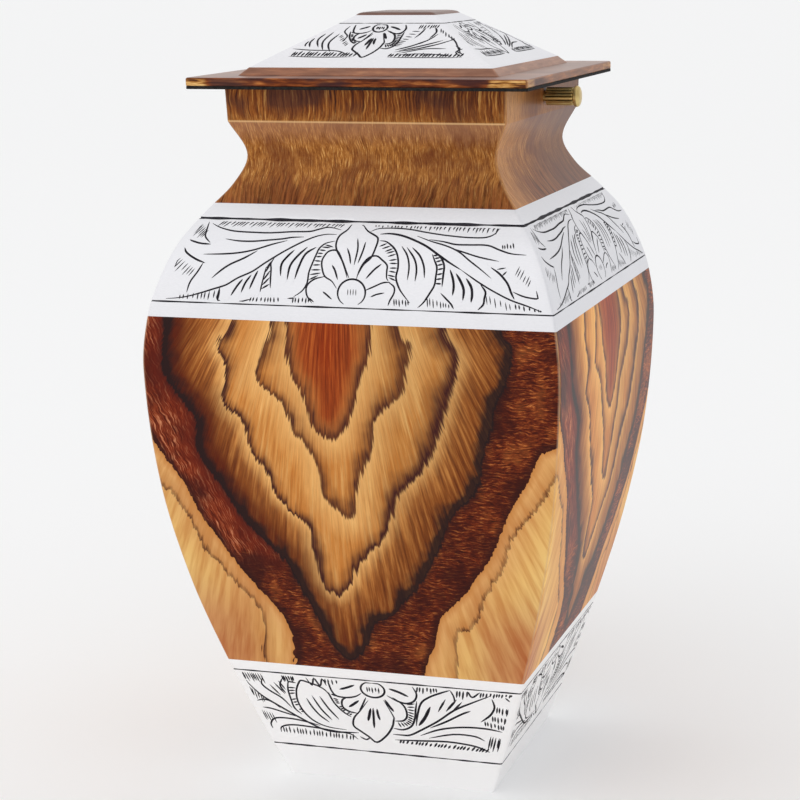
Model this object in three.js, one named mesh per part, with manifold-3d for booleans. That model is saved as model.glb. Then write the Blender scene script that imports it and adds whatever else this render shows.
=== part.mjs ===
// Cremation urn box: a square cast-aluminium vessel with a full belly, a waisted neck
// and a lift-off lid held by one brass thumb screw. Millimetres, +Z up, the origin at the
// centre of the underside. The front looks along -Y and the thumb screw is on +X.
import * as THREE from 'three';
import { mergeVertices } from 'three/addons/utils/BufferGeometryUtils.js';
import Module from 'manifold-3d';

// Driving dimensions. Half-widths run from the axis to the middle of a flat side.
const BASE_HALF = 38.4;
const BELLY_HALF = 72.8;
const BELLY_HEIGHT = 155;
const NECK_HALF = 44.2;
const NECK_HEIGHT = 225.5;
const CREASE_HALF = 48.9;
const CREASE_HEIGHT = 237;
const RIM_HALF = 49.3;
const RIM_HEIGHT = 248.25;
const WALL = 3;
const FLOOR = 4;
const CORNER_EASE = 0.9;

const GASKET = 1;
const FLANGE_HALF = 59;
const FLANGE_THICK = 2.75;
const FOOT_HALF = 45.8;
const FOOT_TOP_HALF = 42.9;
const FOOT_RISE = 2.6;
const CAP_HALF = 14.6;
const CAP_SHOULDER_HALF = 13.7;
const CAP_TOP_HALF = 11.2;
const PYRAMID_RISE = 16.4;
const CAP_RISE = 1.1;
const SKIRT_HALF = 44.6;
const SKIRT_DEPTH = 8;
const SKIRT_WALL = 2.4;

// Bare bands between the wood-look panels, and the lines engraved across them.
const GROOVE_HALF = 0.55;
const GROOVE_DEPTH = 0.5;
const CUT_RISE = 0.4;
const TAPER = 0.4;
const LOWER_PLAIN_LINE = 13.1;
const LOWER_BAND = [17.2, 43.7];
const UPPER_BAND = [178.4, 205.1];
const LID_BAND_TOP = 0.84;
const LID_BAND_LOW = 0.19;

// Thumb screw through the lip on the +X side.
const SCREW_HEIGHT = 242.9;
const KNOB_RADIUS = 3.1;
const KNOB_LENGTH = 10.4;
const KNOB_REEDS = 14;
const REED_DEPTH = 0.45;
const COLLAR_RADIUS = 3.65;
const COLLAR_LENGTH = 2;
const SHANK_RADIUS = 1.9;
const BORE_RADIUS = 2.2;
const TOUCH = 0.3;

const ROUND_SIDES = 24;
const wasm = await Module();
wasm.setup();

// The side profile as [height, half-width] points, joined by a smooth curve.
const PROFILE = [
  [0, BASE_HALF],
  [22, 46.2],
  [50, 55.2],
  [80, 63.4],
  [115, 69.9],
  [BELLY_HEIGHT, BELLY_HALF],
  [174, 71],
  [187, 67.2],
  [198, 62.1],
  [207, 55.4],
  [216, 48],
  [NECK_HEIGHT, NECK_HALF],
  [CREASE_HEIGHT, CREASE_HALF],
];

function slopeAt(index) {
  const before = PROFILE[Math.max(index - 1, 0)];
  const after = PROFILE[Math.min(index + 1, PROFILE.length - 1)];
  return (after[1] - before[1]) / (after[0] - before[0]);
}

function halfWidthAt(height) {
  if (height >= CREASE_HEIGHT) {
    const t = (height - CREASE_HEIGHT) / (RIM_HEIGHT - CREASE_HEIGHT);
    return CREASE_HALF + (RIM_HALF - CREASE_HALF) * t;
  }
  const index = Math.max(PROFILE.findIndex((point) => point[0] > height) - 1, 0);
  const [z0, w0] = PROFILE[index];
  const [z1, w1] = PROFILE[index + 1];
  const span = z1 - z0;
  const t = (height - z0) / span;
  const t2 = t * t;
  const t3 = t2 * t;
  return (2 * t3 - 3 * t2 + 1) * w0 + (t3 - 2 * t2 + t) * span * slopeAt(index)
    + (3 * t2 - 2 * t3) * w1 + (t3 - t2) * span * slopeAt(index + 1);
}

function slopeOfSide(height) {
  const reach = 0.05;
  return (halfWidthAt(height + reach) - halfWidthAt(height - reach)) / (2 * reach);
}

// One level section: a square with its four corners eased by a small flat.
function section(half, height, ease = CORNER_EASE) {
  const corners = [];
  for (let side = 0; side < 4; side += 1) {
    const turn = new THREE.Matrix4().makeRotationZ((side * Math.PI) / 2);
    corners.push(new THREE.Vector3(-half + ease, -half, height).applyMatrix4(turn));
    corners.push(new THREE.Vector3(half - ease, -half, height).applyMatrix4(turn));
  }
  return corners;
}

// A closed body from level sections stacked along a path, with flat ends.
function loft(sections) {
  const count = sections[0].length;
  const positions = sections.flat().flatMap((point) => [point.x, point.y, point.z]);
  const faces = [];
  for (let ring = 0; ring + 1 < sections.length; ring += 1) {
    for (let i = 0; i < count; i += 1) {
      const a = ring * count + i;
      const b = ring * count + ((i + 1) % count);
      faces.push(a, b, b + count, a, b + count, a + count);
    }
  }
  const last = (sections.length - 1) * count;
  for (let i = 1; i + 1 < count; i += 1) {
    faces.push(0, i + 1, i, last, last + i, last + i + 1);
  }
  const geometry = new THREE.BufferGeometry();
  geometry.setAttribute('position', new THREE.Float32BufferAttribute(positions, 3));
  geometry.setIndex(faces);
  return geometry;
}

function toSolid(geometry) {
  const bare = geometry.clone();
  bare.deleteAttribute('normal');
  bare.deleteAttribute('uv');
  const merged = mergeVertices(bare, 1e-5);
  return new wasm.Manifold(new wasm.Mesh({
    numProp: 3,
    vertProperties: new Float32Array(merged.attributes.position.array),
    triVerts: new Uint32Array(merged.index.array),
  }));
}

function toGeometry(solid) {
  const mesh = solid.getMesh();
  const geometry = new THREE.BufferGeometry();
  geometry.setAttribute('position', new THREE.BufferAttribute(mesh.vertProperties, 3));
  geometry.setIndex(new THREE.BufferAttribute(mesh.triVerts, 1));
  geometry.computeVertexNormals();
  return geometry;
}

// A cylinder lying along X from x0 to x1 at the screw's height.
function lyingCylinder(radius, x0, x1, sides = ROUND_SIDES) {
  const geometry = new THREE.CylinderGeometry(radius, radius, x1 - x0, sides);
  geometry.rotateZ(-Math.PI / 2);
  geometry.translate((x0 + x1) / 2, 0, SCREW_HEIGHT);
  return geometry;
}

// Heights of the outer sections: finer where the side curves more, and three to a groove.
function bodyHeights() {
  const grooves = [LOWER_PLAIN_LINE, LOWER_BAND[1], ...UPPER_BAND];
  const heights = [];
  for (let z = 0; z < CREASE_HEIGHT;) {
    if (grooves.every((line) => Math.abs(z - line) > 2 * GROOVE_HALF)) heights.push([z, 0]);
    z += z < 165 ? 8 : 4.5;
  }
  for (const line of grooves) {
    heights.push([line - GROOVE_HALF, 0], [line, GROOVE_DEPTH], [line + GROOVE_HALF, 0]);
  }
  heights.push([CREASE_HEIGHT, 0], [RIM_HEIGHT, 0]);
  return heights.sort((a, b) => a[0] - b[0]);
}

// The engraved motif: half a flower on the band's first line, and a leaf to each side of it.
// Points are in percent of the band: across from its middle, and from its first line on.
function petal(lean, reach, spread) {
  const across = new THREE.Vector2(Math.sin(lean), Math.cos(lean));
  const square = new THREE.Vector2(Math.cos(lean), -Math.sin(lean));
  const half = [[0.3, 0.3], [0.62, 1], [0.88, 0.75]];
  const points = [
    ...half.map(([t, s]) => [t, -s]), [1, 0], ...half.reverse(),
  ];
  return points.map(([t, s]) => new THREE.Vector2(
    FLOWER[0] + (across.x * reach * t + square.x * spread * s) * FLOWER_ASPECT,
    FLOWER[1] + across.y * reach * t + square.y * spread * s,
  ));
}

const FLOWER = [2.5, 17];
const FLOWER_ASPECT = 0.45;
const DISC = 15;
const PETALS = [[0, 80, 19], [0.95, 52, 14], [-0.95, 52, 14]];
const LEAF_SPINE = [[14, 84], [31, 83], [50, 62], [70, 33], [94, 6]];
const LEAF_FRINGE = [[14, 93], [52, 89], [87, 92]];
const LEAF_FOLD = [[42, 82], [70, 75], [95, 66]];
const LOBE_ROOTS = [[31, 70], [53, 50]];
const LOBE_DROP = [[0, 0], [3, -22], [-1, -46]];

function motif() {
  const lines = PETALS.map((size) => petal(...size));
  const disc = [];
  for (let turn = -2.2; turn < 2.3; turn += 1.1) {
    const across = DISC * FLOWER_ASPECT * Math.sin(turn);
    disc.push(new THREE.Vector2(FLOWER[0] + across, FLOWER[1] + DISC * Math.cos(turn)));
  }
  lines.push(disc);
  for (const hand of [1, -1]) {
    const place = ([x, y]) => new THREE.Vector2(hand * x, y);
    lines.push(LEAF_SPINE.map(place), LEAF_FRINGE.map(place), LEAF_FOLD.map(place));
    for (const [x, y] of LOBE_ROOTS) {
      lines.push(LOBE_DROP.map(([dx, dy]) => place([x + dx, Math.max(y + dy, 3)])));
    }
  }
  return lines;
}

// A V-shaped cutter along one line of the motif, laid on a side and tapered at both ends.
function cutter(line, band, side) {
  const turn = new THREE.Matrix4().makeRotationZ((side * Math.PI) / 2);
  const spots = line.map((spot) => {
    const height = band.low + ((band.high - band.low) * spot.y) / 100;
    const [half, slope] = band.side(height);
    const point = new THREE.Vector3((0.97 * half * spot.x) / 100, -half, height);
    return { point, out: new THREE.Vector3(0, -1, -slope).normalize() };
  });
  const sections = spots.map(({ point, out }, i) => {
    const ahead = spots[Math.min(i + 1, spots.length - 1)].point;
    const behind = spots[Math.max(i - 1, 0)].point;
    const across = ahead.clone().sub(behind).cross(out).normalize();
    const size = i === 0 || i === spots.length - 1 ? TAPER : 1;
    const proud = GROOVE_HALF * size * (1 + CUT_RISE / (GROOVE_DEPTH * size));
    return [
      point.clone().addScaledVector(across, proud).addScaledVector(out, CUT_RISE).applyMatrix4(turn),
      point.clone().addScaledVector(out, -GROOVE_DEPTH * size).applyMatrix4(turn),
      point.clone().addScaledVector(across, -proud).addScaledVector(out, CUT_RISE).applyMatrix4(turn),
    ];
  });
  return toSolid(loft(sections));
}

function engrave(solid, band) {
  let cut = solid;
  for (let side = 0; side < 4; side += 1) {
    for (const line of motif()) cut = cut.subtract(cutter(line, band, side));
  }
  return cut;
}

function urnBody() {
  const outer = bodyHeights().map(([z, sunk]) => section(halfWidthAt(z) - sunk, z));
  const inner = [section(halfWidthAt(RIM_HEIGHT) - WALL, RIM_HEIGHT, 0.5)];
  for (let z = CREASE_HEIGHT; z > FLOOR + 1;) {
    const across = WALL * Math.hypot(1, slopeOfSide(z));
    inner.push(section(halfWidthAt(z) - across, z, 0.5));
    z -= z > 165 ? 5 : 15;
  }
  inner.push(section(halfWidthAt(FLOOR) - WALL * Math.hypot(1, slopeOfSide(FLOOR)), FLOOR, 0.5));
  const bore = lyingCylinder(BORE_RADIUS, RIM_HALF - 2 * WALL, RIM_HALF + WALL);
  let solid = toSolid(loft([...outer, ...inner])).subtract(toSolid(bore));
  const vesselSide = (height) => [halfWidthAt(height), slopeOfSide(height)];
  solid = engrave(solid, { low: UPPER_BAND[0], high: UPPER_BAND[1], side: vesselSide });
  solid = engrave(solid, { low: LOWER_BAND[1], high: LOWER_BAND[0], side: vesselSide });
  return toGeometry(solid);
}

// Heights of the lid's parts, from the rim up.
const FLANGE_BOTTOM = RIM_HEIGHT + GASKET;
const FLANGE_TOP = FLANGE_BOTTOM + FLANGE_THICK;
const FOOT_TOP = FLANGE_TOP + FOOT_RISE;
const PYRAMID_TOP = FOOT_TOP + PYRAMID_RISE;
const CAP_TOP = PYRAMID_TOP + CAP_RISE;
const PYRAMID_RUN = FOOT_TOP_HALF - CAP_HALF;
const PYRAMID_SLOPE = PYRAMID_RISE / PYRAMID_RUN;

// A section of the pyramid at a part of its rise, sunk square to the slope.
function pyramidSection(part, sunk = 0) {
  const tilt = Math.hypot(1, PYRAMID_SLOPE);
  const half = FOOT_TOP_HALF - PYRAMID_RUN * part - (sunk * PYRAMID_SLOPE) / tilt;
  return section(half, FOOT_TOP + PYRAMID_RISE * part - sunk / tilt);
}

// One closed path: the hollow's ceiling, down inside the skirt, and up the outside to the cap.
function lidBody() {
  const skirtInner = SKIRT_HALF - SKIRT_WALL;
  const skirtFoot = FLANGE_BOTTOM - SKIRT_DEPTH;
  const drop = WALL * Math.hypot(1, PYRAMID_SLOPE);
  const ceiling = PYRAMID_TOP - drop;
  const eaves = FOOT_TOP - drop + (FOOT_TOP_HALF - skirtInner) * PYRAMID_SLOPE;
  const grooveHalf = GROOVE_HALF / PYRAMID_RUN;
  const shell = loft([
    section(CAP_HALF, ceiling),
    section(skirtInner, eaves),
    section(skirtInner, skirtFoot),
    section(SKIRT_HALF, skirtFoot),
    section(SKIRT_HALF, FLANGE_BOTTOM),
    section(FLANGE_HALF, FLANGE_BOTTOM),
    section(FLANGE_HALF, FLANGE_TOP),
    section(FOOT_HALF, FLANGE_TOP),
    pyramidSection(0),
    pyramidSection(LID_BAND_TOP - grooveHalf),
    pyramidSection(LID_BAND_TOP, GROOVE_DEPTH),
    pyramidSection(LID_BAND_TOP + grooveHalf),
    pyramidSection(1),
    section(CAP_SHOULDER_HALF, PYRAMID_TOP + CAP_RISE * 0.6),
    section(CAP_TOP_HALF, CAP_TOP),
  ]);
  const lidSide = (height) => [
    FOOT_TOP_HALF - (height - FOOT_TOP) / PYRAMID_SLOPE, -1 / PYRAMID_SLOPE,
  ];
  const bandTop = FOOT_TOP + PYRAMID_RISE * (LID_BAND_TOP - 2 * grooveHalf);
  const bandLow = FOOT_TOP + PYRAMID_RISE * LID_BAND_LOW;
  return toGeometry(engrave(toSolid(shell), { low: bandTop, high: bandLow, side: lidSide }));
}

function gasketBody() {
  const hole = SKIRT_HALF + TOUCH;
  const outline = new THREE.Shape(section(FLANGE_HALF, 0).map((p) => new THREE.Vector2(p.x, p.y)));
  outline.holes.push(new THREE.Path(section(hole, 0).map((p) => new THREE.Vector2(p.x, p.y))));
  const geometry = new THREE.ExtrudeGeometry(outline, { depth: GASKET, bevelEnabled: false });
  return geometry.translate(0, 0, RIM_HEIGHT);
}

// Reeded knob with a wider rounded collar at its outer end, on a shank that reaches the skirt.
function lockScrew() {
  const knobStart = RIM_HALF + TOUCH;
  const knobEnd = knobStart + KNOB_LENGTH;
  const outline = [];
  for (let i = 0; i < 2 * KNOB_REEDS; i += 1) {
    const angle = (i * Math.PI) / KNOB_REEDS;
    const radius = KNOB_RADIUS - (i % 2) * REED_DEPTH;
    outline.push(new THREE.Vector2(radius * Math.cos(angle), radius * Math.sin(angle)));
  }
  const knob = new THREE.ExtrudeGeometry(new THREE.Shape(outline), {
    depth: KNOB_LENGTH, bevelEnabled: false,
  });
  knob.rotateY(Math.PI / 2);
  knob.translate(knobStart, 0, SCREW_HEIGHT);
  const profile = [
    [0, -TOUCH], [COLLAR_RADIUS, -TOUCH], [COLLAR_RADIUS, COLLAR_LENGTH * 0.45],
    [COLLAR_RADIUS * 0.85, COLLAR_LENGTH * 0.85], [COLLAR_RADIUS * 0.45, COLLAR_LENGTH],
    [0, COLLAR_LENGTH],
  ];
  const collar = new THREE.LatheGeometry(profile.map(([r, x]) => new THREE.Vector2(r, x)), ROUND_SIDES);
  collar.rotateZ(-Math.PI / 2);
  collar.translate(knobEnd, 0, SCREW_HEIGHT);
  const shank = lyingCylinder(SHANK_RADIUS, SKIRT_HALF + TOUCH, knobStart + TOUCH);
  return toGeometry(toSolid(knob).add(toSolid(collar)).add(toSolid(shank)));
}

const woodLook = new THREE.MeshStandardMaterial({ color: 0xa4652e, roughness: 0.35, metalness: 0.1 });
const lidLook = new THREE.MeshStandardMaterial({ color: 0x8a5a3c, roughness: 0.35, metalness: 0.1 });
const linerLook = new THREE.MeshStandardMaterial({ color: 0x1c1917, roughness: 0.9, metalness: 0 });
const brassLook = new THREE.MeshStandardMaterial({ color: 0xb79a55, roughness: 0.3, metalness: 1 });

function piece(name, geometry, material) {
  const mesh = new THREE.Mesh(geometry, material);
  mesh.name = name;
  return mesh;
}

const urn = new THREE.Group();
urn.add(
  piece('urn_body', urnBody(), woodLook),
  piece('lid', lidBody(), lidLook),
  piece('lid_gasket', gasketBody(), linerLook),
  piece('lock_screw', lockScrew(), brassLook),
);
export default urn;
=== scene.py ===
"""Looks of the square cremation urn: wood-look enamel over cast aluminium, with bare
aluminium bands that carry an ink-filled hand engraving. Lengths are in millimetres in this
script and become metres where a mesh, a light or the camera is made."""
import math

import bpy
import numpy as np
from mathutils import Matrix, Vector
from mathutils.geometry import delaunay_2d_cdt


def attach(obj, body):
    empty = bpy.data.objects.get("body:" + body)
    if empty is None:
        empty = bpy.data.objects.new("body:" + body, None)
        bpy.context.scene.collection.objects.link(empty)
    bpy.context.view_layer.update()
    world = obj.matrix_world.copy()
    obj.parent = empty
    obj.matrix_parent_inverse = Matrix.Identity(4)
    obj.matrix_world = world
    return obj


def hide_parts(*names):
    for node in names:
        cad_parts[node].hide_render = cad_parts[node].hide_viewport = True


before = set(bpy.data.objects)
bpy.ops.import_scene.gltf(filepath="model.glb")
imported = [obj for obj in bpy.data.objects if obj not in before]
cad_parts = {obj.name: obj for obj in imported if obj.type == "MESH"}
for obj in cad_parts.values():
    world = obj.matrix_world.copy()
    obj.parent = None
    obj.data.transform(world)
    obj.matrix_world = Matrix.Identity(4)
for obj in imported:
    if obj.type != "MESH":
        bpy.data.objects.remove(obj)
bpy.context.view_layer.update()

MM = 0.001

# The side's outline, as in the solids: [height, half-width] joined by a smooth curve. The
# half-widths come from the camera's fit, rounded, and some were moved a little.
OUTLINE = [
    (0, 38.4), (22, 46.2), (50, 55.2), (80, 63.4), (115, 69.9), (155, 72.8), (174, 71.0),
    (187, 67.2), (198, 62.1), (207, 55.4), (216, 48.0), (225.5, 44.2), (237, 48.9),
]
CREASE = 237.0
RIM_HALF = 49.3
RIM_HEIGHT = 248.25
WALL = 3.0
FLOOR = 4.0
EASE = 0.9

# Heights on the vessel where the finish changes, and the engraved lines. A zone is where the
# motif is cut between its band's two lines.
PLAIN_LINE = 13.1
LOWER_BAND = (17.2, 43.7)
WOOD_BOTTOM = 47.7
WOOD_TOP = 173.3
UPPER_BAND = (178.4, 205.1)
NECK_BOTTOM = 209.8
LINE_DEPTH = 0.3
LINE_HALF = 0.36
AFTER_LINE = 1.2
CREASE_REACH = 0.35
LOWER_ZONE = (LOWER_BAND[0] - 0.4, LOWER_BAND[1] - 0.6)
UPPER_ZONE = (UPPER_BAND[0] + 0.55, UPPER_BAND[1] - 0.7)

# The lid, from the solids.
FLANGE_HALF = 59.0
FLANGE_BOTTOM = 249.25
FLANGE_TOP = 252.0
LOW_EASE = 0.25
TOP_EASE = 0.35
FOOT_HALF = 45.8
FOOT_TOP_HALF = 42.9
FOOT_TOP = 254.6
CAP_HALF = 14.6
PYRAMID_TOP = 271.0
CAP_SHOULDER_HALF = 13.7
CAP_TOP_HALF = 11.2
CAP_TOP = 272.1
CAP_ROUNDING = ((CAP_SHOULDER_HALF, 0.6), (12.6, 0.86), (CAP_TOP_HALF, 1.0))
SKIRT_HALF = 44.6
SKIRT_WALL = 2.4
SKIRT_DEPTH = 8.0
LID_BAND = (257.7, 268.4)
LID_ZONE = (LID_BAND[0] - 0.15, LID_BAND[1] - 0.3)
SHARP_DEGREES = 32


class Outline:
    """Half-width of a side against height, with the length run along its surface."""

    def __init__(self, heights, halves):
        self.heights = np.asarray(heights, float)
        self.halves = np.asarray(halves, float)
        steps = np.hypot(np.diff(self.heights), np.diff(self.halves))
        self.runs = np.concatenate([[0.0], np.cumsum(steps)])

    def half(self, height):
        return np.interp(height, self.heights, self.halves)

    def run(self, height):
        return np.interp(height, self.heights, self.runs)

    def height(self, run):
        return np.interp(run, self.runs, self.heights)

    def normal(self, height):
        reach = 0.2
        rise = self.half(height + reach) - self.half(height - reach)
        size = np.hypot(2 * reach, rise)
        return 2 * reach / size, -rise / size


def smooth_halves(heights):
    """The curve through OUTLINE, then the straight lip above the crease."""
    z = np.array([p[0] for p in OUTLINE], float)
    w = np.array([p[1] for p in OUTLINE], float)
    before = np.maximum(np.arange(len(z)) - 1, 0)
    after = np.minimum(np.arange(len(z)) + 1, len(z) - 1)
    slope = (w[after] - w[before]) / (z[after] - z[before])
    i = np.clip(np.searchsorted(z, heights, side="right") - 1, 0, len(z) - 2)
    span = z[i + 1] - z[i]
    t = (heights - z[i]) / span
    curve_half = (
        (2 * t**3 - 3 * t**2 + 1) * w[i]
        + (t**3 - 2 * t**2 + t) * span * slope[i]
        + (3 * t**2 - 2 * t**3) * w[i + 1]
        + (t**3 - t**2) * span * slope[i + 1]
    )
    lip = w[-1] + (RIM_HALF - w[-1]) * (heights - CREASE) / (RIM_HEIGHT - CREASE)
    return np.where(heights > CREASE, lip, curve_half)


SAMPLE_COUNT = 2484
SAMPLES = np.linspace(0, RIM_HEIGHT, SAMPLE_COUNT)
VESSEL = Outline(SAMPLES, smooth_halves(SAMPLES))
PYRAMID = Outline([FOOT_TOP, PYRAMID_TOP], [FOOT_TOP_HALF, CAP_HALF])


class Build:
    """Collects points and faces of one piece; each face corner keeps its own panel values."""

    def __init__(self):
        self.points = []
        self.values = []
        self.faces = []
        self.looks = []

    def add(self, point, value=(0.0, 0.0, 0.0)):
        self.points.append(point)
        self.values.append(value)
        return len(self.points) - 1

    def face(self, corners, look):
        self.faces.append(tuple(corners))
        self.looks.append(look)

    def mesh(self, name, looks):
        """Welds equal points and makes the object, with the panel values on face corners."""
        points = np.array(self.points)
        _, first, weld = np.unique(np.round(points, 3), axis=0, return_index=True, return_inverse=True)
        weld = weld.reshape(-1)
        faces, corners, kinds = [], [], []
        for face, look in zip(self.faces, self.looks):
            kept = [i for n, i in enumerate(face) if weld[i] != weld[face[n - 1]]]
            if len(kept) > 2:
                faces.append([int(weld[i]) for i in kept])
                corners.extend(kept)
                kinds.append(look)
        mesh = bpy.data.meshes.new(name)
        mesh.from_pydata((points[first] * MM).tolist(), [], faces)
        panel = np.array(self.values, float)
        for title, field in (("panel", panel), *wood_fields(panel)):
            data = mesh.attributes.new(title, "FLOAT_VECTOR", "CORNER").data
            data.foreach_set("vector", field[corners].astype(np.float32).ravel())
        order = list(looks)
        for look in order:
            mesh.materials.append(looks[look])
        mesh.polygons.foreach_set("material_index", [order.index(kind) for kind in kinds])
        mesh.polygons.foreach_set("use_smooth", [True] * len(kinds))
        mesh.validate()
        mesh.set_sharp_from_angle(angle=math.radians(SHARP_DEGREES))
        made = bpy.data.objects.new(name, mesh)
        bpy.context.scene.collection.objects.link(made)
        return made


# Columns of one side: eased corner halves outside, flat columns between them.
CORNER_TURNS = (45.0, 22.5)
FLAT_STEPS = 84
LID_STEPS = 30
HOLD = 0.012


def side_columns(steps=FLAT_STEPS):
    flats = np.linspace(-1 + HOLD, 1 - HOLD, steps + 1).tolist()
    flats = [-1.0] + flats + [1.0]
    left = [("arc", -turn) for turn in CORNER_TURNS]
    right = [("arc", turn) for turn in reversed(CORNER_TURNS)]
    return left + [("flat", t) for t in flats] + right


def on_side(side, outline, column, height, lift=0.0):
    """The point of a side's column at a height, lifted square to the surface."""
    half = float(outline.half(height))
    out, up = outline.normal(height)
    kind, value = column
    flat = half - EASE
    if kind == "flat":
        x, y = value * flat, -(half + lift * out)
    else:
        turn = math.radians(value)
        radius = EASE + lift * out
        x = math.copysign(flat + radius * math.sin(abs(turn)), turn)
        y = -(flat + radius * math.cos(turn))
    return turned(side, x, y, height + lift * up), (x, height, float(side))


def turned(side, x, y, z):
    c, s = ((1, 0), (0, 1), (-1, 0), (0, -1))[side]
    return (c * x - s * y, s * x + c * y, z)


# How a hand-cut line varies: the rate and the seed's share of each wave, the least part of its
# nominal width, and what the swelling adds.
WAVES = ((7.3, 1.0), (17.1, 2.1), (31.7, 3.7))
LINE_LEAST = 0.35
LINE_SWELL = 0.95


def hand_wobble(column, seed):
    """How a hand-cut line swells and thins along a side, from 0 to 1, and even at the corners."""
    if column[0] == "arc":
        return 0.5
    t = column[1]
    wave = sum(math.sin(rate * t + share * seed) for rate, share in WAVES)
    return 0.5 + wave / 6 * min(1.0, 20 * (1 - abs(t)))


def row_heights(low, high, step):
    count = max(1, round((high - low) / step))
    return [low + (high - low) * i / count for i in range(count + 1)]


def plain_rows(low, high, step, look):
    """Rows of a smooth zone: (height, lift, spread, look of the strip above the row)."""
    return [(h, 0.0, 0.0, look) for h in row_heights(low, high, step)[:-1]]


def engraved_rows(zone, step):
    """Rows of a zone that a motif is cut into. The strip finds the motif by the zone's foot."""
    heights = row_heights(*zone, step)
    return [(h, 0.0, 0.0, "engraved") for h in heights[:-1]] + [(heights[-1], 0.0, 0.0, "metal")]


def line_rows(line, next_look, half=LINE_HALF, depth=LINE_DEPTH):
    """One engraved line: two edges and the sunk middle between them."""
    return [(line, 0.0, -half, "ink"), (line, -depth, 0.0, "ink"), (line, 0.0, half, next_look)]


def strip(build, side, outline, rows, columns, engraved=None, seed=1.0):
    """A grid over one side. Where a row's look is "engraved", the flat part is cut by a motif."""
    grid = []
    for height, lift, spread, _ in rows:
        line = []
        for column in columns:
            swell = LINE_LEAST + LINE_SWELL * hand_wobble(column, seed + height)
            line.append(build.add(*on_side(side, outline, column, height + spread * swell, lift)))
        grid.append(line)
    for r in range(len(rows) - 1):
        look = rows[r][3]
        for c in range(len(columns) - 1):
            flat = columns[c][0] == "flat" and columns[c + 1][0] == "flat"
            if look == "engraved" and flat:
                continue
            kind = "metal" if look == "engraved" else look
            build.face((grid[r][c], grid[r][c + 1], grid[r + 1][c + 1], grid[r + 1][c]), kind)
    zone = [r for r in range(len(rows) - 1) if rows[r][3] == "engraved"]
    flats = [c for c, column in enumerate(columns) if column[0] == "flat"]
    for first, last in zones(zone):
        bottom = [grid[first][c] for c in flats]
        top = [grid[last][c] for c in flats]
        right = [grid[r][flats[-1]] for r in range(first + 1, last)]
        left = [grid[r][flats[0]] for r in range(first + 1, last)]
        border = bottom + right + top[::-1] + left[::-1]
        engrave(build, side, outline, border, *engraved[rows[first][0]])
    return grid


def zones(rows):
    """Runs of consecutive row numbers as (first, one past the last)."""
    found = []
    for r in rows:
        if found and found[-1][1] == r:
            found[-1][1] = r + 1
        else:
            found.append([r, r + 1])
    return found


# Engraving. A stroke is a run of points in percent of the panel: across from the middle to
# an edge, and up from the lower line to the upper one. Weight 1 is a 0.6 mm wide cut. In the
# standing flower and its leaves most points were picked by eye as pixels of the photo, and a
# scratch script turned them into percent with the camera.
TICK_SWAY = 0.25
TICK_UNEVEN = 0.18
RUNG_START = 0.08
RUNG_END = 0.9


def curve(points, per_span=4):
    """A smooth line through points given by hand."""
    p = np.array(points, float)
    if len(p) < 3:
        t = np.linspace(0, 1, 4)[:, None]
        return p[0] + (p[-1] - p[0]) * t
    ends = np.vstack([2 * p[0] - p[1], p, 2 * p[-1] - p[-2]])
    line = []
    for i in range(1, len(ends) - 2):
        a, b, c, d = ends[i - 1:i + 3]
        for t in np.arange(per_span) / per_span:
            line.append(0.5 * (2 * b + (c - a) * t + (2 * a - 5 * b + 4 * c - d) * t**2
                               + (3 * b - a - 3 * c + d) * t**3))
    line.append(p[-1])
    return np.array(line)


def ticks(start, end, count, cut_start, cut_end, weight=0.6):
    """A row of short cuts from start to end; each cut's own vector changes along the row."""
    start, end = np.array(start, float), np.array(end, float)
    cut_start, cut_end = np.array(cut_start, float), np.array(cut_end, float)
    made = []
    for i in range(count):
        t = i / max(count - 1, 1)
        sway = TICK_SWAY * math.sin(5.1 * i) * (end - start) / max(count, 1)
        foot = start + (end - start) * t + sway
        cut = (cut_start + (cut_end - cut_start) * t) * (1 + TICK_UNEVEN * math.sin(3.7 * i))
        made.append((weight, [foot, foot + cut]))
    return made


def ladder(first, second, count, weight=0.6):
    """Rungs between two curves."""
    a, b = curve(first), curve(second)
    made = []
    for i in range(count):
        t = (i + 0.5) / count
        p = a[int(t * (len(a) - 1))]
        q = b[int(t * (len(b) - 1))]
        made.append((weight, [p + (q - p) * RUNG_START, p + (q - p) * RUNG_END]))
    return made


# The heavier cuts, and the lid's own flower: its size, its place across, and the half-width of
# the lid's panel with what it loses for each percent of height.
BOLD = 1.2
LID_FLOWER = 0.31
LID_FLOWER_AT = -2.5
LID_PANEL_HALF = 37.5
LID_PANEL_LOSS = 0.184


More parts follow.
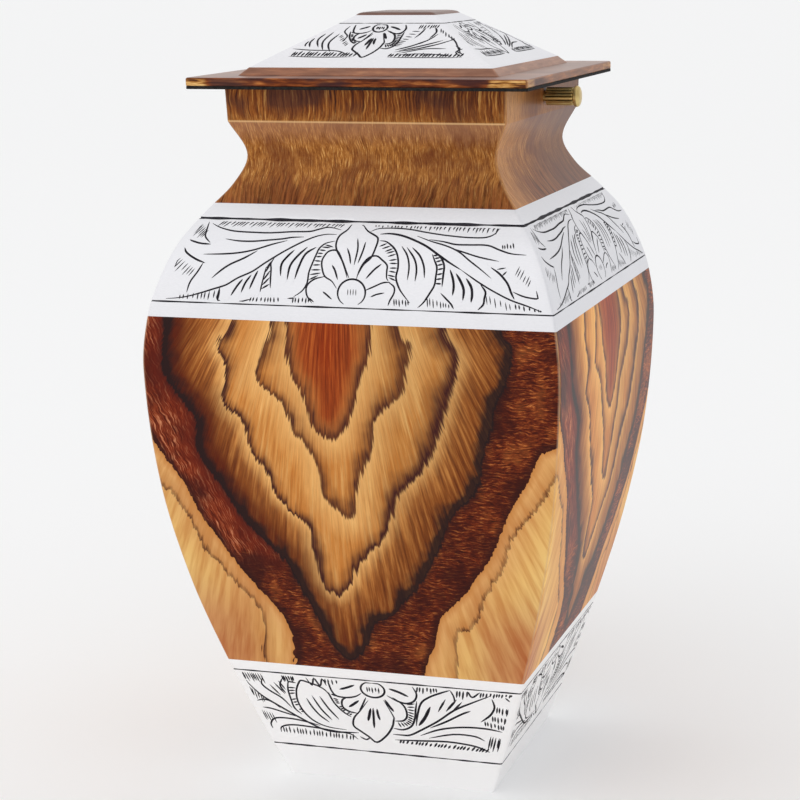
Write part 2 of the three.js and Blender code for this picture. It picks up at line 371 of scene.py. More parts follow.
def flower():
    """A flower that stands on the lower line at the middle of the panel."""
    turns = np.radians(np.arange(-150, 151, 20))
    disc = [(2.0 + 7.2 * math.sin(a), 17 + 15 * math.cos(a)) for a in turns]
    strokes = [
        (1.1, disc),
        (1.1, [(-3, 99), (-5, 90), (-9, 82), (-10, 73), (-9, 65), (-5, 53), (-2, 41), (0, 33)]),
        (1.1, [(3, 99), (7, 89), (13, 82), (14, 77), (13, 68), (11, 57), (7, 48), (4, 34)]),
        (1.0, [(2, 79), (3, 66), (2, 48)]),
        (1.0, [(7, 75), (6, 64), (4, 50)]),
        (1.0, [(-3, 67), (-1, 58), (0, 49)]),
        (1.0, [(4, 32), (5, 41), (7, 50), (10, 57), (14, 59), (17, 55), (20, 49), (20, 42), (20, 35),
               (21, 31)]),
        (0.9, [(9, 20), (13, 24), (18, 29), (22, 30)]),
        (1.1, [(17, 50), (13, 43), (9, 33)]),
        (1.0, [(21, 30), (24, 25), (24, 18), (22, 10), (21, 4)]),
        (0.9, [(19, 18), (15, 16), (12, 13)]),
        (1.0, [(-1, 33), (-3, 44), (-6, 57), (-9, 64), (-13, 63), (-15, 58), (-16, 51), (-15, 42),
               (-13, 34), (-9, 29), (-6, 21)]),
        (1.1, [(-10, 47), (-8, 41), (-6, 31)]),
        (1.0, [(-13, 34), (-18, 31), (-21, 26), (-22, 20), (-21, 12), (-18, 4)]),
        (1.0, [(-13, 17), (-11, 14), (-8, 9)]),
    ]
    for i in range(4):
        strokes.append((0.5, [(0.0 + 1.4 * i, 21), (0.1 + 1.4 * i, 14)]))
    return strokes


def right_leaves():
    spine = [(15, 85), (21, 86), (28, 84), (35, 79), (42, 72), (48, 63), (54, 54), (60, 46), (65, 38),
             (69, 32), (75, 24), (83, 15), (91, 9), (98, 3)]
    fringe = [(9, 88), (14, 92), (23, 93), (33, 92), (42, 89), (53, 86), (65, 84), (75, 84), (80, 86),
              (84, 90), (88, 97)]
    arc = [(15, 77), (19, 76), (23, 70), (25, 64), (26, 56), (26, 46), (25, 36), (26, 27), (28, 19),
           (32, 8)]
    petal = [(14, 71), (17, 66), (19, 62), (20, 57), (21, 51), (21, 44), (20, 38), (22, 33)]
    rung_left = [(45, 63), (46, 56), (47, 48), (46, 37), (45, 28)]
    rung_right = [(48, 63), (50, 58), (51, 50), (50, 39), (49, 27)]
    strokes = [
        (1.3, spine[:8]), (0.9, spine[7:]), (0.9, fringe), (1.1, arc),
        (0.9, [(37, 84), (45, 78), (52, 74), (57, 70), (61, 65), (65, 57), (70, 48), (75, 38)]),
        (1.0, [(44, 80), (52, 78), (59, 75), (67, 75), (77, 75), (83, 70), (89, 66), (97, 65)]),
        (0.9, [(57, 70), (63, 66), (71, 61), (81, 57)]),
        (1.2, [(76, 50), (80, 43), (83, 33), (84, 23), (85, 16)]),
        (0.9, [(81, 41), (84, 46)]), (0.8, [(79, 48), (84, 50)]),
        (0.9, [(85, 24), (89, 20), (93, 18), (97, 18), (98, 26)]),
        (1.1, rung_left + [(42, 18), (39, 9), (36, 3)]), (1.2, rung_right),
        (1.0, [(28, 71), (31, 61), (32, 48), (31, 33)]),
        (1.1, [(31, 70), (35, 57), (36, 45), (35, 32)]),
        (1.1, [(34, 70), (38, 61), (40, 49), (40, 36)]),
        (1.0, [(48, 20), (51, 13), (53, 8), (54, 3)]),
        (1.4, [(54, 46), (55, 36), (55, 27), (54, 18)]),
        (1.5, [(57, 42), (59, 33), (60, 24), (59, 13)]),
        (1.5, [(62, 37), (64, 28), (64, 19), (63, 11)]),
        (1.2, [(69, 31), (71, 23), (70, 16), (69, 9), (66, 3)]),
    ]
    strokes += ladder(petal, arc[1:8], 11, 0.9)
    strokes += ladder(rung_left, rung_right, 8, 1.0)
    strokes += ticks((12, 99), (87, 99), 32, (-0.3, -5), (-3.2, -9), 0.85)
    strokes += ticks((24, 12), (31, 11), 6, (0.2, -8), (0.2, -6), 0.8)
    strokes += ticks((41, 15), (52, 8), 8, (0, -11), (0, -4), 0.7)
    strokes += ticks((71, 20), (82, 11), 6, (0, -11), (0, -7), 0.6)
    strokes += ticks((85, 11), (98, 5), 7, (0, -6), (0, -3), 0.9)
    strokes += ticks((88, 42), (93, 30), 6, (3.5, 10), (2.5, 8), 0.6)
    strokes += ticks((85, 71), (91, 72), 5, (0.6, 5), (0.6, 6), 0.8)
    return strokes


def left_leaves():
    spine = [(-11, 83), (-17, 83), (-23, 80), (-29, 74), (-36, 65), (-42, 56), (-48, 46), (-53, 37),
             (-60, 29), (-65, 21), (-71, 16), (-80, 9), (-87, 5), (-95, 3)]
    fringe = [(-91, 93), (-84, 88), (-74, 84), (-61, 83), (-51, 83), (-39, 85), (-28, 86), (-23, 89),
              (-17, 92), (-9, 89)]
    arc = [(-11, 75), (-16, 72), (-19, 66), (-20, 58), (-21, 49), (-22, 38), (-22, 26), (-24, 17),
           (-28, 10)]
    petal = [(-10, 68), (-13, 66), (-16, 60), (-16, 53), (-16, 45), (-15, 38), (-18, 33)]
    rung_left = [(-46, 43), (-46, 32), (-46, 21), (-46, 14)]
    rung_right = [(-43, 53), (-44, 47), (-43, 40), (-42, 29), (-41, 19)]
    strokes = [
        (1.0, spine), (1.0, fringe), (1.0, arc), (0.9, rung_left), (1.0, rung_right),
        (1.0, [(-76, 74), (-68, 72), (-59, 72), (-50, 74), (-42, 76), (-37, 78), (-30, 79)]),
        (1.0, [(-84, 55), (-73, 56), (-64, 58), (-56, 62), (-47, 69), (-39, 74)]),
        (1.1, [(-54, 61), (-60, 52), (-66, 45), (-70, 38), (-74, 28)]),
        (1.0, [(-82, 45), (-83, 35), (-85, 23), (-85, 11)]),
        (1.2, [(-97, 62), (-94, 56), (-87, 49), (-81, 45)]),
        (1.1, [(-98, 72), (-90, 68), (-83, 67)]),
        (1.0, [(-94, 95), (-91, 83), (-89, 76), (-84, 69)]),
        (1.0, [(-68, 18), (-68, 10), (-68, 6), (-66, 0)]),
        (1.2, [(-57, 28), (-59, 20), (-61, 9)]),
        (1.2, [(-53, 33), (-55, 24), (-56, 13)]),
        (1.2, [(-50, 38), (-51, 29), (-52, 17)]),
        (1.3, [(-33, 63), (-36, 55), (-38, 46), (-37, 33)]),
        (1.3, [(-26, 67), (-30, 57), (-33, 45), (-33, 29)]),
        (1.3, [(-21, 67), (-26, 59), (-28, 45), (-29, 30)]),
        (0.8, [(-56, 2), (-50, 6)]), (0.8, [(-31, 8), (-27, 9)]), (0.8, [(-20, 10), (-17, 5)]),
    ]
    strokes += ladder(petal, arc[1:7], 10, 0.9)
    strokes += ladder(rung_left, rung_right, 5, 1.0)
    strokes += ticks((-84, 98), (-7, 99), 34, (-2.6, -8), (-2.4, -7), 0.7)
    strokes += ticks((-88, 8), (-68, 15), 10, (0.3, -5), (0.3, -11), 0.8)
    strokes += ticks((-50, 8), (-36, 9), 9, (-0.5, -5), (0.6, -6), 0.9)
    strokes += ticks((-28, 9), (-20, 10), 6, (0, -6), (0, -6), 0.9)
    strokes += ticks((-97, 92), (-90, 84), 7, (-2, -12), (-1, -10), 0.6)
    strokes += ticks((-96, 50), (-85, 38), 7, (-3, -11), (-2, -9), 0.6)
    return strokes


def upper_motif():
    return flower() + right_leaves() + left_leaves()


def hanging_flower():
    """A smaller flower that hangs from the upper line, with three low petals."""
    turns = np.radians(np.arange(0, 361, 20))
    disc = [(-2 + 8.7 * math.sin(a), 86 + 12 * math.cos(a)) for a in turns]
    strokes = [
        (1.1, disc),
        (1.0, [(-34, 96), (-34, 89), (-33, 77), (-30, 71), (-23, 70), (-16, 73), (-11, 79)]),
        (1.1, [(-23, 70), (-27, 65), (-28, 55), (-24, 48), (-17, 46)]),
        (0.9, [(-8, 73), (-12, 60), (-16, 48)]),
        (1.1, [(-7, 68), (-15, 50), (-21, 38), (-23, 25), (-18, 17), (-12, 9), (-6, 1), (3, 13), (9, 28),
               (11, 40), (11, 47), (5, 71)]),
        (1.1, [(12, 77), (20, 65), (22, 50), (19, 41), (12, 39)]),
        (1.1, [(27, 97), (30, 85), (28, 74), (22, 69), (15, 72), (8, 79)]),
        (1.3, [(-27, 82), (-21, 86), (-15, 91)]), (1.4, [(-23, 55), (-19, 60), (-14, 67)]),
        (1.5, [(-10, 35), (-8, 45), (-6, 56)]), (1.3, [(-6, 24), (-5, 40), (-4, 57)]),
        (1.3, [(0, 38), (-1, 47), (-1, 56)]), (1.4, [(12, 54), (9, 62), (6, 72)]),
        (1.4, [(10, 90), (17, 86), (24, 80)]),
        (1.1, [(30, 74), (29, 61), (28, 46), (25, 33), (18, 26), (10, 27)]),
        (1.0, [(-36, 76), (-34, 60), (-29, 47), (-23, 39)]),
    ]
    strokes += ladder([(-35, 74), (-33, 60), (-29, 48), (-23, 40)],
                      [(-30, 70), (-29, 60), (-26, 50), (-20, 43)], 9, 0.9)
    strokes += ladder([(22, 67), (22, 52), (20, 40), (12, 38)],
                      [(29, 70), (28, 48), (25, 34), (14, 27)], 12, 0.9)
    strokes += ticks((-6, 90), (2, 90), 5, (0, -8), (0, -8), 0.8)
    return strokes


def lower_motif():
    strokes = hanging_flower() + [
        (1.1, [(9, 17), (16, 17), (23, 18), (31, 26), (46, 45), (58, 65), (71, 80), (83, 93)]),
        (1.1, [(29, 34), (30, 50), (33, 71), (39, 82), (48, 91), (54, 96)]),
        (1.7, [(31, 35), (36, 49), (40, 67)]), (1.1, [(46, 60), (51, 81)]), (1.3, [(52, 62), (59, 82)]),
        (1.1, [(56, 60), (63, 79)]), (1.1, [(40, 33), (52, 45), (64, 60), (70, 66)]),
        (1.1, [(32, 19), (48, 32), (66, 39), (84, 40), (97, 37)]),
        (1.0, [(39, 16), (59, 26), (76, 26), (85, 20)]),
        (1.1, [(10, 8), (29, 10), (54, 13), (73, 11), (84, 7), (91, 2)]),
        (1.1, [(79, 50), (85, 62), (87, 75), (84, 88)]), (0.9, [(54, 96), (57, 86), (58, 76)]),
        (1.0, [(66, 98), (70, 88), (75, 97)]), (0.9, [(93, 92), (97, 86)]),
        (1.0, [(-83, 91), (-86, 80), (-82, 70), (-75, 60), (-70, 45)]),
        (1.0, [(-30, 17), (-45, 19), (-55, 26), (-61, 39), (-63, 56), (-61, 73), (-57, 86), (-54, 91),
               (-48, 88), (-42, 84), (-37, 76), (-35, 62)]),
        (1.0, [(-55, 63), (-53, 50), (-49, 37), (-43, 27)]), (1.0, [(-50, 68), (-46, 47), (-40, 31)]),
        (1.0, [(-44, 68), (-40, 50), (-34, 33)]),
        (1.0, [(-64, 90), (-67, 75), (-68, 58), (-68, 45), (-64, 36)]),
        (1.1, [(-98, 84), (-91, 62), (-80, 46), (-67, 30), (-53, 16), (-42, 12), (-30, 13), (-20, 14)]),
        (0.9, [(-80, 80), (-75, 64)]), (0.9, [(-76, 84), (-71, 67)]), (0.9, [(-72, 87), (-69, 74)]),
        (1.0, [(-68, 92), (-72, 80), (-70, 68)]),
        (1.0, [(-96, 8), (-95, 17), (-88, 26), (-74, 27), (-62, 24), (-52, 20)]),
        (0.9, [(-97, 52), (-90, 55), (-84, 51), (-80, 43)]),
        (0.9, [(-95, 42), (-88, 41), (-78, 36), (-68, 31)]),
        (1.0, [(-90, 3), (-87, 12), (-76, 17), (-57, 16), (-40, 13), (-28, 11), (-22, 3)]),
        (1.0, [(-50, 96), (-47, 85), (-44, 96), (-41, 85), (-38, 96), (-36, 86)]),
        (0.9, [(-20, 8), (-15, 4), (-11, 8)]),
    ]
    strokes += ladder([(-66, 88), (-68, 68), (-67, 50), (-63, 37)],
                      [(-58, 86), (-62, 70), (-63, 52), (-60, 38)], 9, 0.9)
    strokes += ticks((14, 3), (88, 1), 24, (1.8, 6), (2.4, 7), 1.0)
    strokes += ticks((-87, 3), (-27, 1), 22, (1.4, 10), (1.4, 9), 0.8)
    strokes += ticks((31, 99), (44, 99), 7, (-1, -12), (1, -9), 0.9)
    strokes += ticks((59, 98), (66, 98), 4, (0, -13), (0, -13), 1.0)
    strokes += ticks((76, 98), (98, 98), 11, (-0.4, -10), (-0.4, -5), 0.9)
    strokes += ticks((89, 76), (98, 74), 5, (0.5, -10), (0.5, -10), 0.9)
    strokes += ticks((87, 61), (98, 59), 6, (1, -9), (1, -9), 0.9)
    strokes += ticks((82, 52), (97, 47), 7, (1.2, -8), (1.2, -8), 0.9)
    strokes += ticks((89, 28), (98, 26), 5, (0, -22), (0, -19), 0.9)
    strokes += ticks((-98, 98), (-84, 96), 10, (0.5, -13), (0.5, -13), 0.7)
    strokes += ticks((-97, 74), (-90, 62), 6, (-1, -14), (-1, -12), 0.6)
    strokes += ticks((-97, 37), (-90, 34), 5, (0, -16), (0, -14), 0.6)
    strokes += ticks((-68, 98), (-60, 98), 6, (1, -12), (0, -10), 0.9)
    strokes += ticks((-36, 98), (-28, 97), 4, (0, -8), (0, -8), 0.8)
    return [(BOLD * weight, points) for weight, points in strokes]


def lid_motif():
    """The hanging flower at its own size, with curled leaf cuts and rope rows. Points are in
    millimetres across, and become percent of the sloping panel's width."""
    strokes = []
    for weight, points in hanging_flower():
        strokes.append((BOLD * weight, [(LID_FLOWER * x + LID_FLOWER_AT, y) for x, y in points]))
    strokes += [
        (1.2, [(-17.4, 69), (-19.5, 43), (-17.4, 17)]), (1.2, [(-20, 74), (-22, 47), (-20.3, 21)]),
        (1.2, [(-22.7, 69), (-24.3, 52), (-22.7, 30)]), (1.2, [(-25.9, 56), (-26.7, 43), (-25.9, 30)]),
        (1.1, [(-27.4, 47), (-28, 39), (-27.8, 32)]), (1.0, [(-32, 25), (-25, 21), (-15, 19), (-10, 8)]),
        (1.0, [(-15, 92), (-16, 76), (-14, 62), (-15, 46)]), (1.2, [(17.8, 87), (18.8, 74), (17.2, 56)]),
        (1.2, [(14.3, 87), (11.6, 56)]), (1.1, [(26.8, 54), (17.2, 30), (6.6, 16)]),
        (1.1, [(21, 39), (11.9, 21)]), (1.0, [(25, 26), (17, 25), (8, 12)]),
        (1.1, [(19.9, 69), (14.5, 39)]), (1.0, [(24, 62), (27, 48), (29, 30), (31, 12)]),
        (1.0, [(31, 26), (29.5, 18), (32, 10)]), (0.9, [(28, 34), (30, 26), (29, 16), (31, 6)]),
        (1.3, [(16.6, 50), (12, 34), (6.4, 22)]), (1.3, [(22.6, 50), (15, 33), (8, 20)]),
        (0.9, [(8, 9), (16, 11), (24, 9), (28, 4)]),
    ]
    strokes += ticks((-31, 3), (-8, 3), 20, (1.0, 14), (1.0, 11), 1.3)
    strokes += ticks((5, 2), (31, 2), 22, (0.9, 10), (0.9, 10), 1.3)
    strokes += [(0.9, [(-32, 3), (-20, 1), (-8, 2)]), (0.8, [(5, 1), (18, 0), (32, 1)])]
    strokes += ladder([(4, 34), (7, 54), (10, 84)], [(8, 34), (10, 52), (14, 84)], 8, 0.9)
    strokes += ticks((12, 96), (19, 96), 8, (-0.4, -14), (-0.4, -10), 0.9)
    strokes += ticks((20, 84), (26, 58), 6, (0.6, -12), (0.8, -12), 0.8)
    strokes += ticks((-16, 66), (-12, 40), 7, (-1, -8), (-1, -8), 0.8)
    made = []
    for weight, points in strokes:
        made.append((weight, [(100 * x / (LID_PANEL_HALF - LID_PANEL_LOSS * y), y) for x, y in points]))
    return made


# Cuts in millimetres, how far inside the panel they stay, how near to a cut or the border a
# filling point may be, and how a stroke narrows to its tips.
STROKE_HALF = 0.3
STROKE_DEPTH = 0.28
FILL_STEP = 2.4
EDGE_PERCENT = 97.0
PANEL_FILL = 0.985
KEEP_IN = 0.4
BORDER_GAP = 0.08
POINT_GAP = 0.8
TIP = 0.25
TAPER_RATE = 4.5


def cut_outline(weight, points, panel):
    """A stroke's closed outline and middle line in millimetres on the panel, tapered to points."""
    line = np.array([panel(x, y) for x, y in curve(points)])
    along = np.gradient(line, axis=0)
    along /= np.maximum(np.linalg.norm(along, axis=1), 1e-6)[:, None]
    across = np.stack([-along[:, 1], along[:, 0]], axis=1)
    t = np.linspace(0, 1, len(line))
    taper = np.minimum(1, TAPER_RATE * np.minimum(t, 1 - t)) ** 0.6
    half = STROKE_HALF * weight * (TIP + (1 - TIP) * taper)
    left = line + across * half[:, None]
    right = line - across * half[:, None]
    return np.vstack([right, left[::-1]]), line, half


def engrave(build, side, outline, border, motif, lines):
    """Fills the zone inside a border of points with the motif's strokes cut into it. The
    motif's percentages count from the first of two lines to the second."""
    low = min(build.values[i][1] for i in border)
    high = max(build.values[i][1] for i in border)
    run_low = float(outline.run(low))
    reach = float(outline.run(high)) - run_low
    start, end = (float(outline.run(line)) - run_low for line in lines)

    def panel(x, y):
        run = min(max(start + (end - start) * y / 100, KEEP_IN), reach - KEEP_IN)
        half = float(outline.half(outline.height(run_low + run))) - EASE
        return PANEL_FILL * half * min(max(x, -EDGE_PERCENT), EDGE_PERCENT) / 100, run

    coords, edges, rings = [], [], []

    def add_loop(points):
        before = len(coords)
        coords.extend(Vector((float(p[0]), float(p[1]))) for p in points)
        rings.append(list(range(before, len(coords))))

    add_loop([(build.values[i][0], float(outline.run(build.values[i][1])) - run_low) for i in border])
    middles = []
    for weight, points in motif:
        ring, line, half = cut_outline(weight, points, panel)
        ring[:, 1] = np.clip(ring[:, 1], BORDER_GAP, reach - BORDER_GAP)
        add_loop(ring)
        first = len(coords)
        coords.extend(Vector((float(p[0]), float(p[1]))) for p in line)
        edges.extend((i, i + 1) for i in range(first, len(coords) - 1))
        middles.append((line, half))
    cut_points = np.vstack([line for line, _ in middles])
    edge_points = np.array([coords[i] for i in rings[0]])
    known = np.vstack([cut_points, edge_points])
    for row, run in enumerate(np.arange(FILL_STEP * 0.6, reach - POINT_GAP, FILL_STEP)):
        half = float(outline.half(outline.height(run_low + run))) - EASE
        for x in np.arange(-half + FILL_STEP * (0.6 + 0.5 * (row % 2)), half - POINT_GAP, FILL_STEP):
            if np.min(np.hypot(known[:, 0] - x, known[:, 1] - run)) > POINT_GAP:
                coords.append(Vector((float(x), float(run))))
    verts, _, faces, _, _, owners = delaunay_2d_cdt(coords, edges, rings, 0, 1e-5, True)
    flat = np.array([(v.x, v.y) for v in verts])
    depth = cut_depth(flat, middles)
    near_edge = {}
    for i in border:
        key = (round(build.values[i][0], 3), round(float(outline.run(build.values[i][1])) - run_low, 3))
        near_edge[key] = i
    index = []
    for (x, run), sunk in zip(flat, depth):
        key = (round(float(x), 3), round(float(run), 3))
        if key in near_edge:
            index.append(near_edge[key])
            continue
        height = float(outline.height(run_low + run))
        out, up = outline.normal(height)
        y = -(float(outline.half(height)) - sunk * out)
        spot = turned(side, float(x), y, height - sunk * up)
        index.append(build.add(spot, (float(x), height, float(side))))
    for face, owner in zip(faces, owners):
        if 0 not in owner:
            continue
        build.face([index[i] for i in face], "ink" if len(owner) > 1 else "metal")


def cut_depth(flat, middles):
    """How far each point is sunk: deepest on a stroke's middle line, nothing at its edge."""
    depth = np.zeros(len(flat))
    for line, half in middles:
        low = line.min(axis=0) - 1
        high = line.max(axis=0) + 1
        near = np.where(np.all((flat > low) & (flat < high), axis=1))[0]
        if not len(near):
            continue
        p = flat[near][:, None, :]
        a, b = line[:-1][None], line[1:][None]
        t = np.clip(((p - a) * (b - a)).sum(2) / np.maximum(((b - a) ** 2).sum(2), 1e-9), 0, 1)
        away = np.linalg.norm(p - (a + (b - a) * t[..., None]), axis=2)
        wide = half[:-1][None] * (1 - t) + half[1:][None] * t
        sunk = np.clip(1 - away / wide, 0, 1) * wide / STROKE_HALF * STROKE_DEPTH
        depth[near] = np.maximum(depth[near], sunk.max(axis=1))
    return depth


# The printed wood figure: nested rings hang from the top of each panel, then a dark curly
# band, then pale sapwood with one thin line in it. Each ring is a line of [across, height]
# points from its left end round to its right end, and runs on above the panel. The points were
# pixels of the photo, turned into millimetres on the panel with the camera; they were then
# rounded, and some were moved. A scratch script turned them into millimetres on the panel with
# the camera; they were then rounded, and some were moved by hand.
HEART = (-6.0, 178.0)
RINGS = [
    [(-22, 192), (-21, 170), (-21, 160), (-15, 149), (-13, 139), (-5, 134), (1, 142), (4, 151),
     (8, 163), (8, 171), (8, 192)],
    [(-24, 192), (-26, 172), (-29, 164), (-32, 156), (-27, 150), (-22, 145), (-19, 136), (-14, 130),
     (-11, 123), (-9, 113), (-1, 106), (1, 114), (4, 124), (8, 133), (9, 140), (14, 147), (19, 152),
     (22, 166), (18, 171), (16, 192)],
    [(-36, 192), (-41, 172), (-45, 165), (-42, 155), (-44, 146), (-38, 139), (-34, 128), (-28, 117),
     (-25, 111), (-17, 103), (-16, 94), (-14, 83), (-9, 77), (-4, 83), (2, 92), (10, 100), (17, 116),
     (26, 127), (31, 137), (34, 145), (38, 159), (38, 166), (34, 172), (32, 192)],
    [(-64, 192), (-64, 172), (-65, 156), (-61, 148), (-54, 139), (-54, 128), (-47, 116), (-37, 101),
     (-26, 89), (-22, 80), (-18, 71), (-15, 62), (-11, 55), (-7, 52), (-2, 57), (3, 68), (10, 71),
     (15, 77), (21, 84), (29, 98), (35, 111), (43, 119), (47, 134), (51, 148), (55, 159), (56, 168),
     (53, 172), (50, 192)],
    [(-100, 192), (-86, 160), (-78, 143), (-72, 134), (-70, 129), (-61, 116), (-56, 105), (-48, 92),
     (-40, 80), (-31, 69), (-27, 55), (-29, 40), (-6, 22), (17, 40), (19, 48), (25, 63), (28, 72),
     (36, 80), (44, 91), (48, 97), (54, 111), (61, 123), (66, 133), (72, 136), (84, 150), (96, 192)],
    [(-120, 180), (-92, 142), (-73, 120), (-69, 114), (-64, 110), (-54, 89), (-45, 78), (-38, 67),
     (-40, 48), (-40, 36), (-6, 8), (30, 36), (31, 49), (33, 66), (38, 68), (44, 80), (50, 90),
     (55, 103), (67, 118), (68, 121), (75, 130), (120, 180)],
]
FAN_FOCUS = (-4.0, 245.0)
SIDE_SHIFT = 7.0


def ring_distance(across, height, ring):
    """Millimetres from a ring's line: more than 0 outside it, less than 0 inside."""
    line = curve(ring, 5)
    a, b = line[:-1], line[1:]
    span = b - a
    away = np.full(len(across), 1e9)
    for start in range(0, len(across), 4000):
        part = slice(start, start + 4000)
        p = np.stack([across[part], height[part]], axis=1)[:, None, :] - a[None]
        t = np.clip((p * span).sum(2) / (span**2).sum(1), 0, 1)
        away[part] = np.linalg.norm(p - span * t[..., None], axis=2).min(axis=1)
    turn = np.arctan2(line[:, 0] - HEART[0], HEART[1] - line[:, 1])
    order = np.argsort(turn)
    radius = np.interp(np.arctan2(across - HEART[0], HEART[1] - height), turn[order],
                       np.hypot(line[:, 0] - HEART[0], line[:, 1] - HEART[1])[order])
    outside = np.hypot(across - HEART[0], height - HEART[1]) > radius
    return np.where(outside, away, -away)


def wood_fields(panel):
    """Fields of the wood figure on the belly's points: distances to the six rings, and the
    fibres' fan angle in degrees, their reach, and how near the point is to a corner edge, which
    masks a painted highlight."""
    fields = np.zeros((3, len(panel), 3))
    wood = np.where((panel[:, 1] > WOOD_BOTTOM - 1) & (panel[:, 1] < WOOD_TOP + 1))[0]
    if len(wood):
        shift = np.where(panel[wood, 2] % 2 == 1, SIDE_SHIFT, 0.0)
        across, height = panel[wood, 0] - shift, panel[wood, 1]
        for number, ring in enumerate(RINGS):
            fields[number // 3, wood, number % 3] = ring_distance(across, height, ring)
        fx, fz = across - FAN_FOCUS[0], height - FAN_FOCUS[1]
        fields[2, wood, 0] = np.degrees(np.arctan2(fx, -fz))
        fields[2, wood, 1] = np.hypot(fx, fz)
    half = VESSEL.half(panel[:, 1])
    fields[2, :, 2] = np.clip((np.abs(panel[:, 0]) - (half - 0.9 * EASE)) / (0.5 * EASE), 0, 1)
    return zip(("rings_in", "rings_out", "fibre"), fields)


def srgb(*colour):
    """A colour given from 0 to 255, as the linear values that a shader takes."""
    linear = []
    for value in colour:
        value = value / 255
        linear.append(value / 12.92 if value <= 0.04045 else ((value + 0.055) / 1.055) ** 2.4)
    return (*linear, 1.0)


class Graph:
    """A short way to write a material's nodes. Three numbers are a colour from 0 to 255 each;
    four are linear values."""

    def __init__(self, name):
        self.material = bpy.data.materials.new(name)
        self.material.use_nodes = True
        self.nodes = self.material.node_tree.nodes
        self.links = self.material.node_tree.links
        self.shader = self.nodes["Principled BSDF"]

    def set(self, socket, value):
        if hasattr(value, "is_output"):
            self.links.new(value, socket)
        elif value is not None:
            socket.default_value = srgb(*value) if isinstance(value, tuple) and len(value) == 3 else value

    def math(self, kind, a, b=None, c=None, clamp=False):
        node = self.nodes.new("ShaderNodeMath")
        node.operation = kind
        node.use_clamp = clamp
        for socket, value in zip(node.inputs, (a, b, c)):
            self.set(socket, value)
        return node.outputs[0]

    def add(self, a, b):
        return self.math("ADD", a, b)

    def times(self, a, b):
        return self.math("MULTIPLY", a, b)

    def fma(self, a, b, c):
        return self.math("MULTIPLY_ADD", a, b, c)

    def mix(self, factor, a, b, blend="MIX"):
        node = self.nodes.new("ShaderNodeMix")
        node.data_type = "RGBA"
        node.blend_type = blend
        node.clamp_factor = True
        self.set(node.inputs[0], factor)
        self.set(node.inputs[6], a)
        self.set(node.inputs[7], b)
        return node.outputs[2]

    def odd(self, side):
        """1 on the right and left sides of the urn, 0 on its front and back."""
        return self.math("MODULO", side, 2.0)

    def rest(self, value):
        return self.math("SUBTRACT", 1.0, value)

    def noise(self, vector, scale=1.0, detail=3.0, rough=0.55):
        node = self.nodes.new("ShaderNodeTexNoise")
        self.set(node.inputs["Vector"], vector)
        node.inputs["Scale"].default_value = scale
        node.inputs["Detail"].default_value = detail
        node.inputs["Roughness"].default_value = rough
        return node.outputs[0]

    def ramp(self, factor, stops, smooth=False):
        node = self.nodes.new("ShaderNodeValToRGB")
        node.color_ramp.interpolation = "EASE" if smooth else "LINEAR"
        items = node.color_ramp.elements
        while len(items) < len(stops):
            items.new(0.5)
        for item, (place, colour) in zip(items, stops):
            item.position = place
            item.color = srgb(*colour) if isinstance(colour, tuple) else (colour, colour, colour, 1)
        self.set(node.inputs[0], factor)
        return node.outputs[0]

    def profile(self, value, stops, smooth=False):
        """A ramp whose stops are given in the value's own units."""
        low, high = stops[0][0], stops[-1][0]
        factor = self.fma(value, 1 / (high - low), -low / (high - low))
        return self.ramp(factor, [((at - low) / (high - low), level) for at, level in stops], smooth)

    def attribute(self, name):
        node = self.nodes.new("ShaderNodeAttribute")
        node.attribute_name = name
        return node.outputs["Vector"]

    def split(self, vector):
        node = self.nodes.new("ShaderNodeSeparateXYZ")
        self.set(node.inputs[0], vector)
        return node.outputs

    def join(self, x, y, z):
        node = self.nodes.new("ShaderNodeCombineXYZ")
        for socket, value in zip(node.inputs, (x, y, z)):
            self.set(socket, value)
        return node.outputs[0]

    def grain(self, x, y, side, scale_x, scale_y, seed=0.0, detail=3.0, rough=0.55):
        """Noise stretched along two lengths, with a slice of its own for each side of the urn."""
        spot = self.join(self.times(x, scale_x), self.times(y, scale_y), self.fma(side, 3.7, seed))
        return self.noise(spot, 1.0, detail, rough)

    def place(self):
        return self.nodes.new("ShaderNodeTexCoord").outputs["Object"]

    def bump(self, height, strength, distance):
        node = self.nodes.new("ShaderNodeBump")
        node.inputs["Strength"].default_value = strength
        node.inputs["Distance"].default_value = distance
        self.set(node.inputs["Height"], height)
        self.links.new(node.outputs[0], self.shader.inputs["Normal"])

    def finish(self, **values):
        for name, value in values.items():
            self.set(self.shader.inputs[name.replace("_", " ")], value)
        return self.material


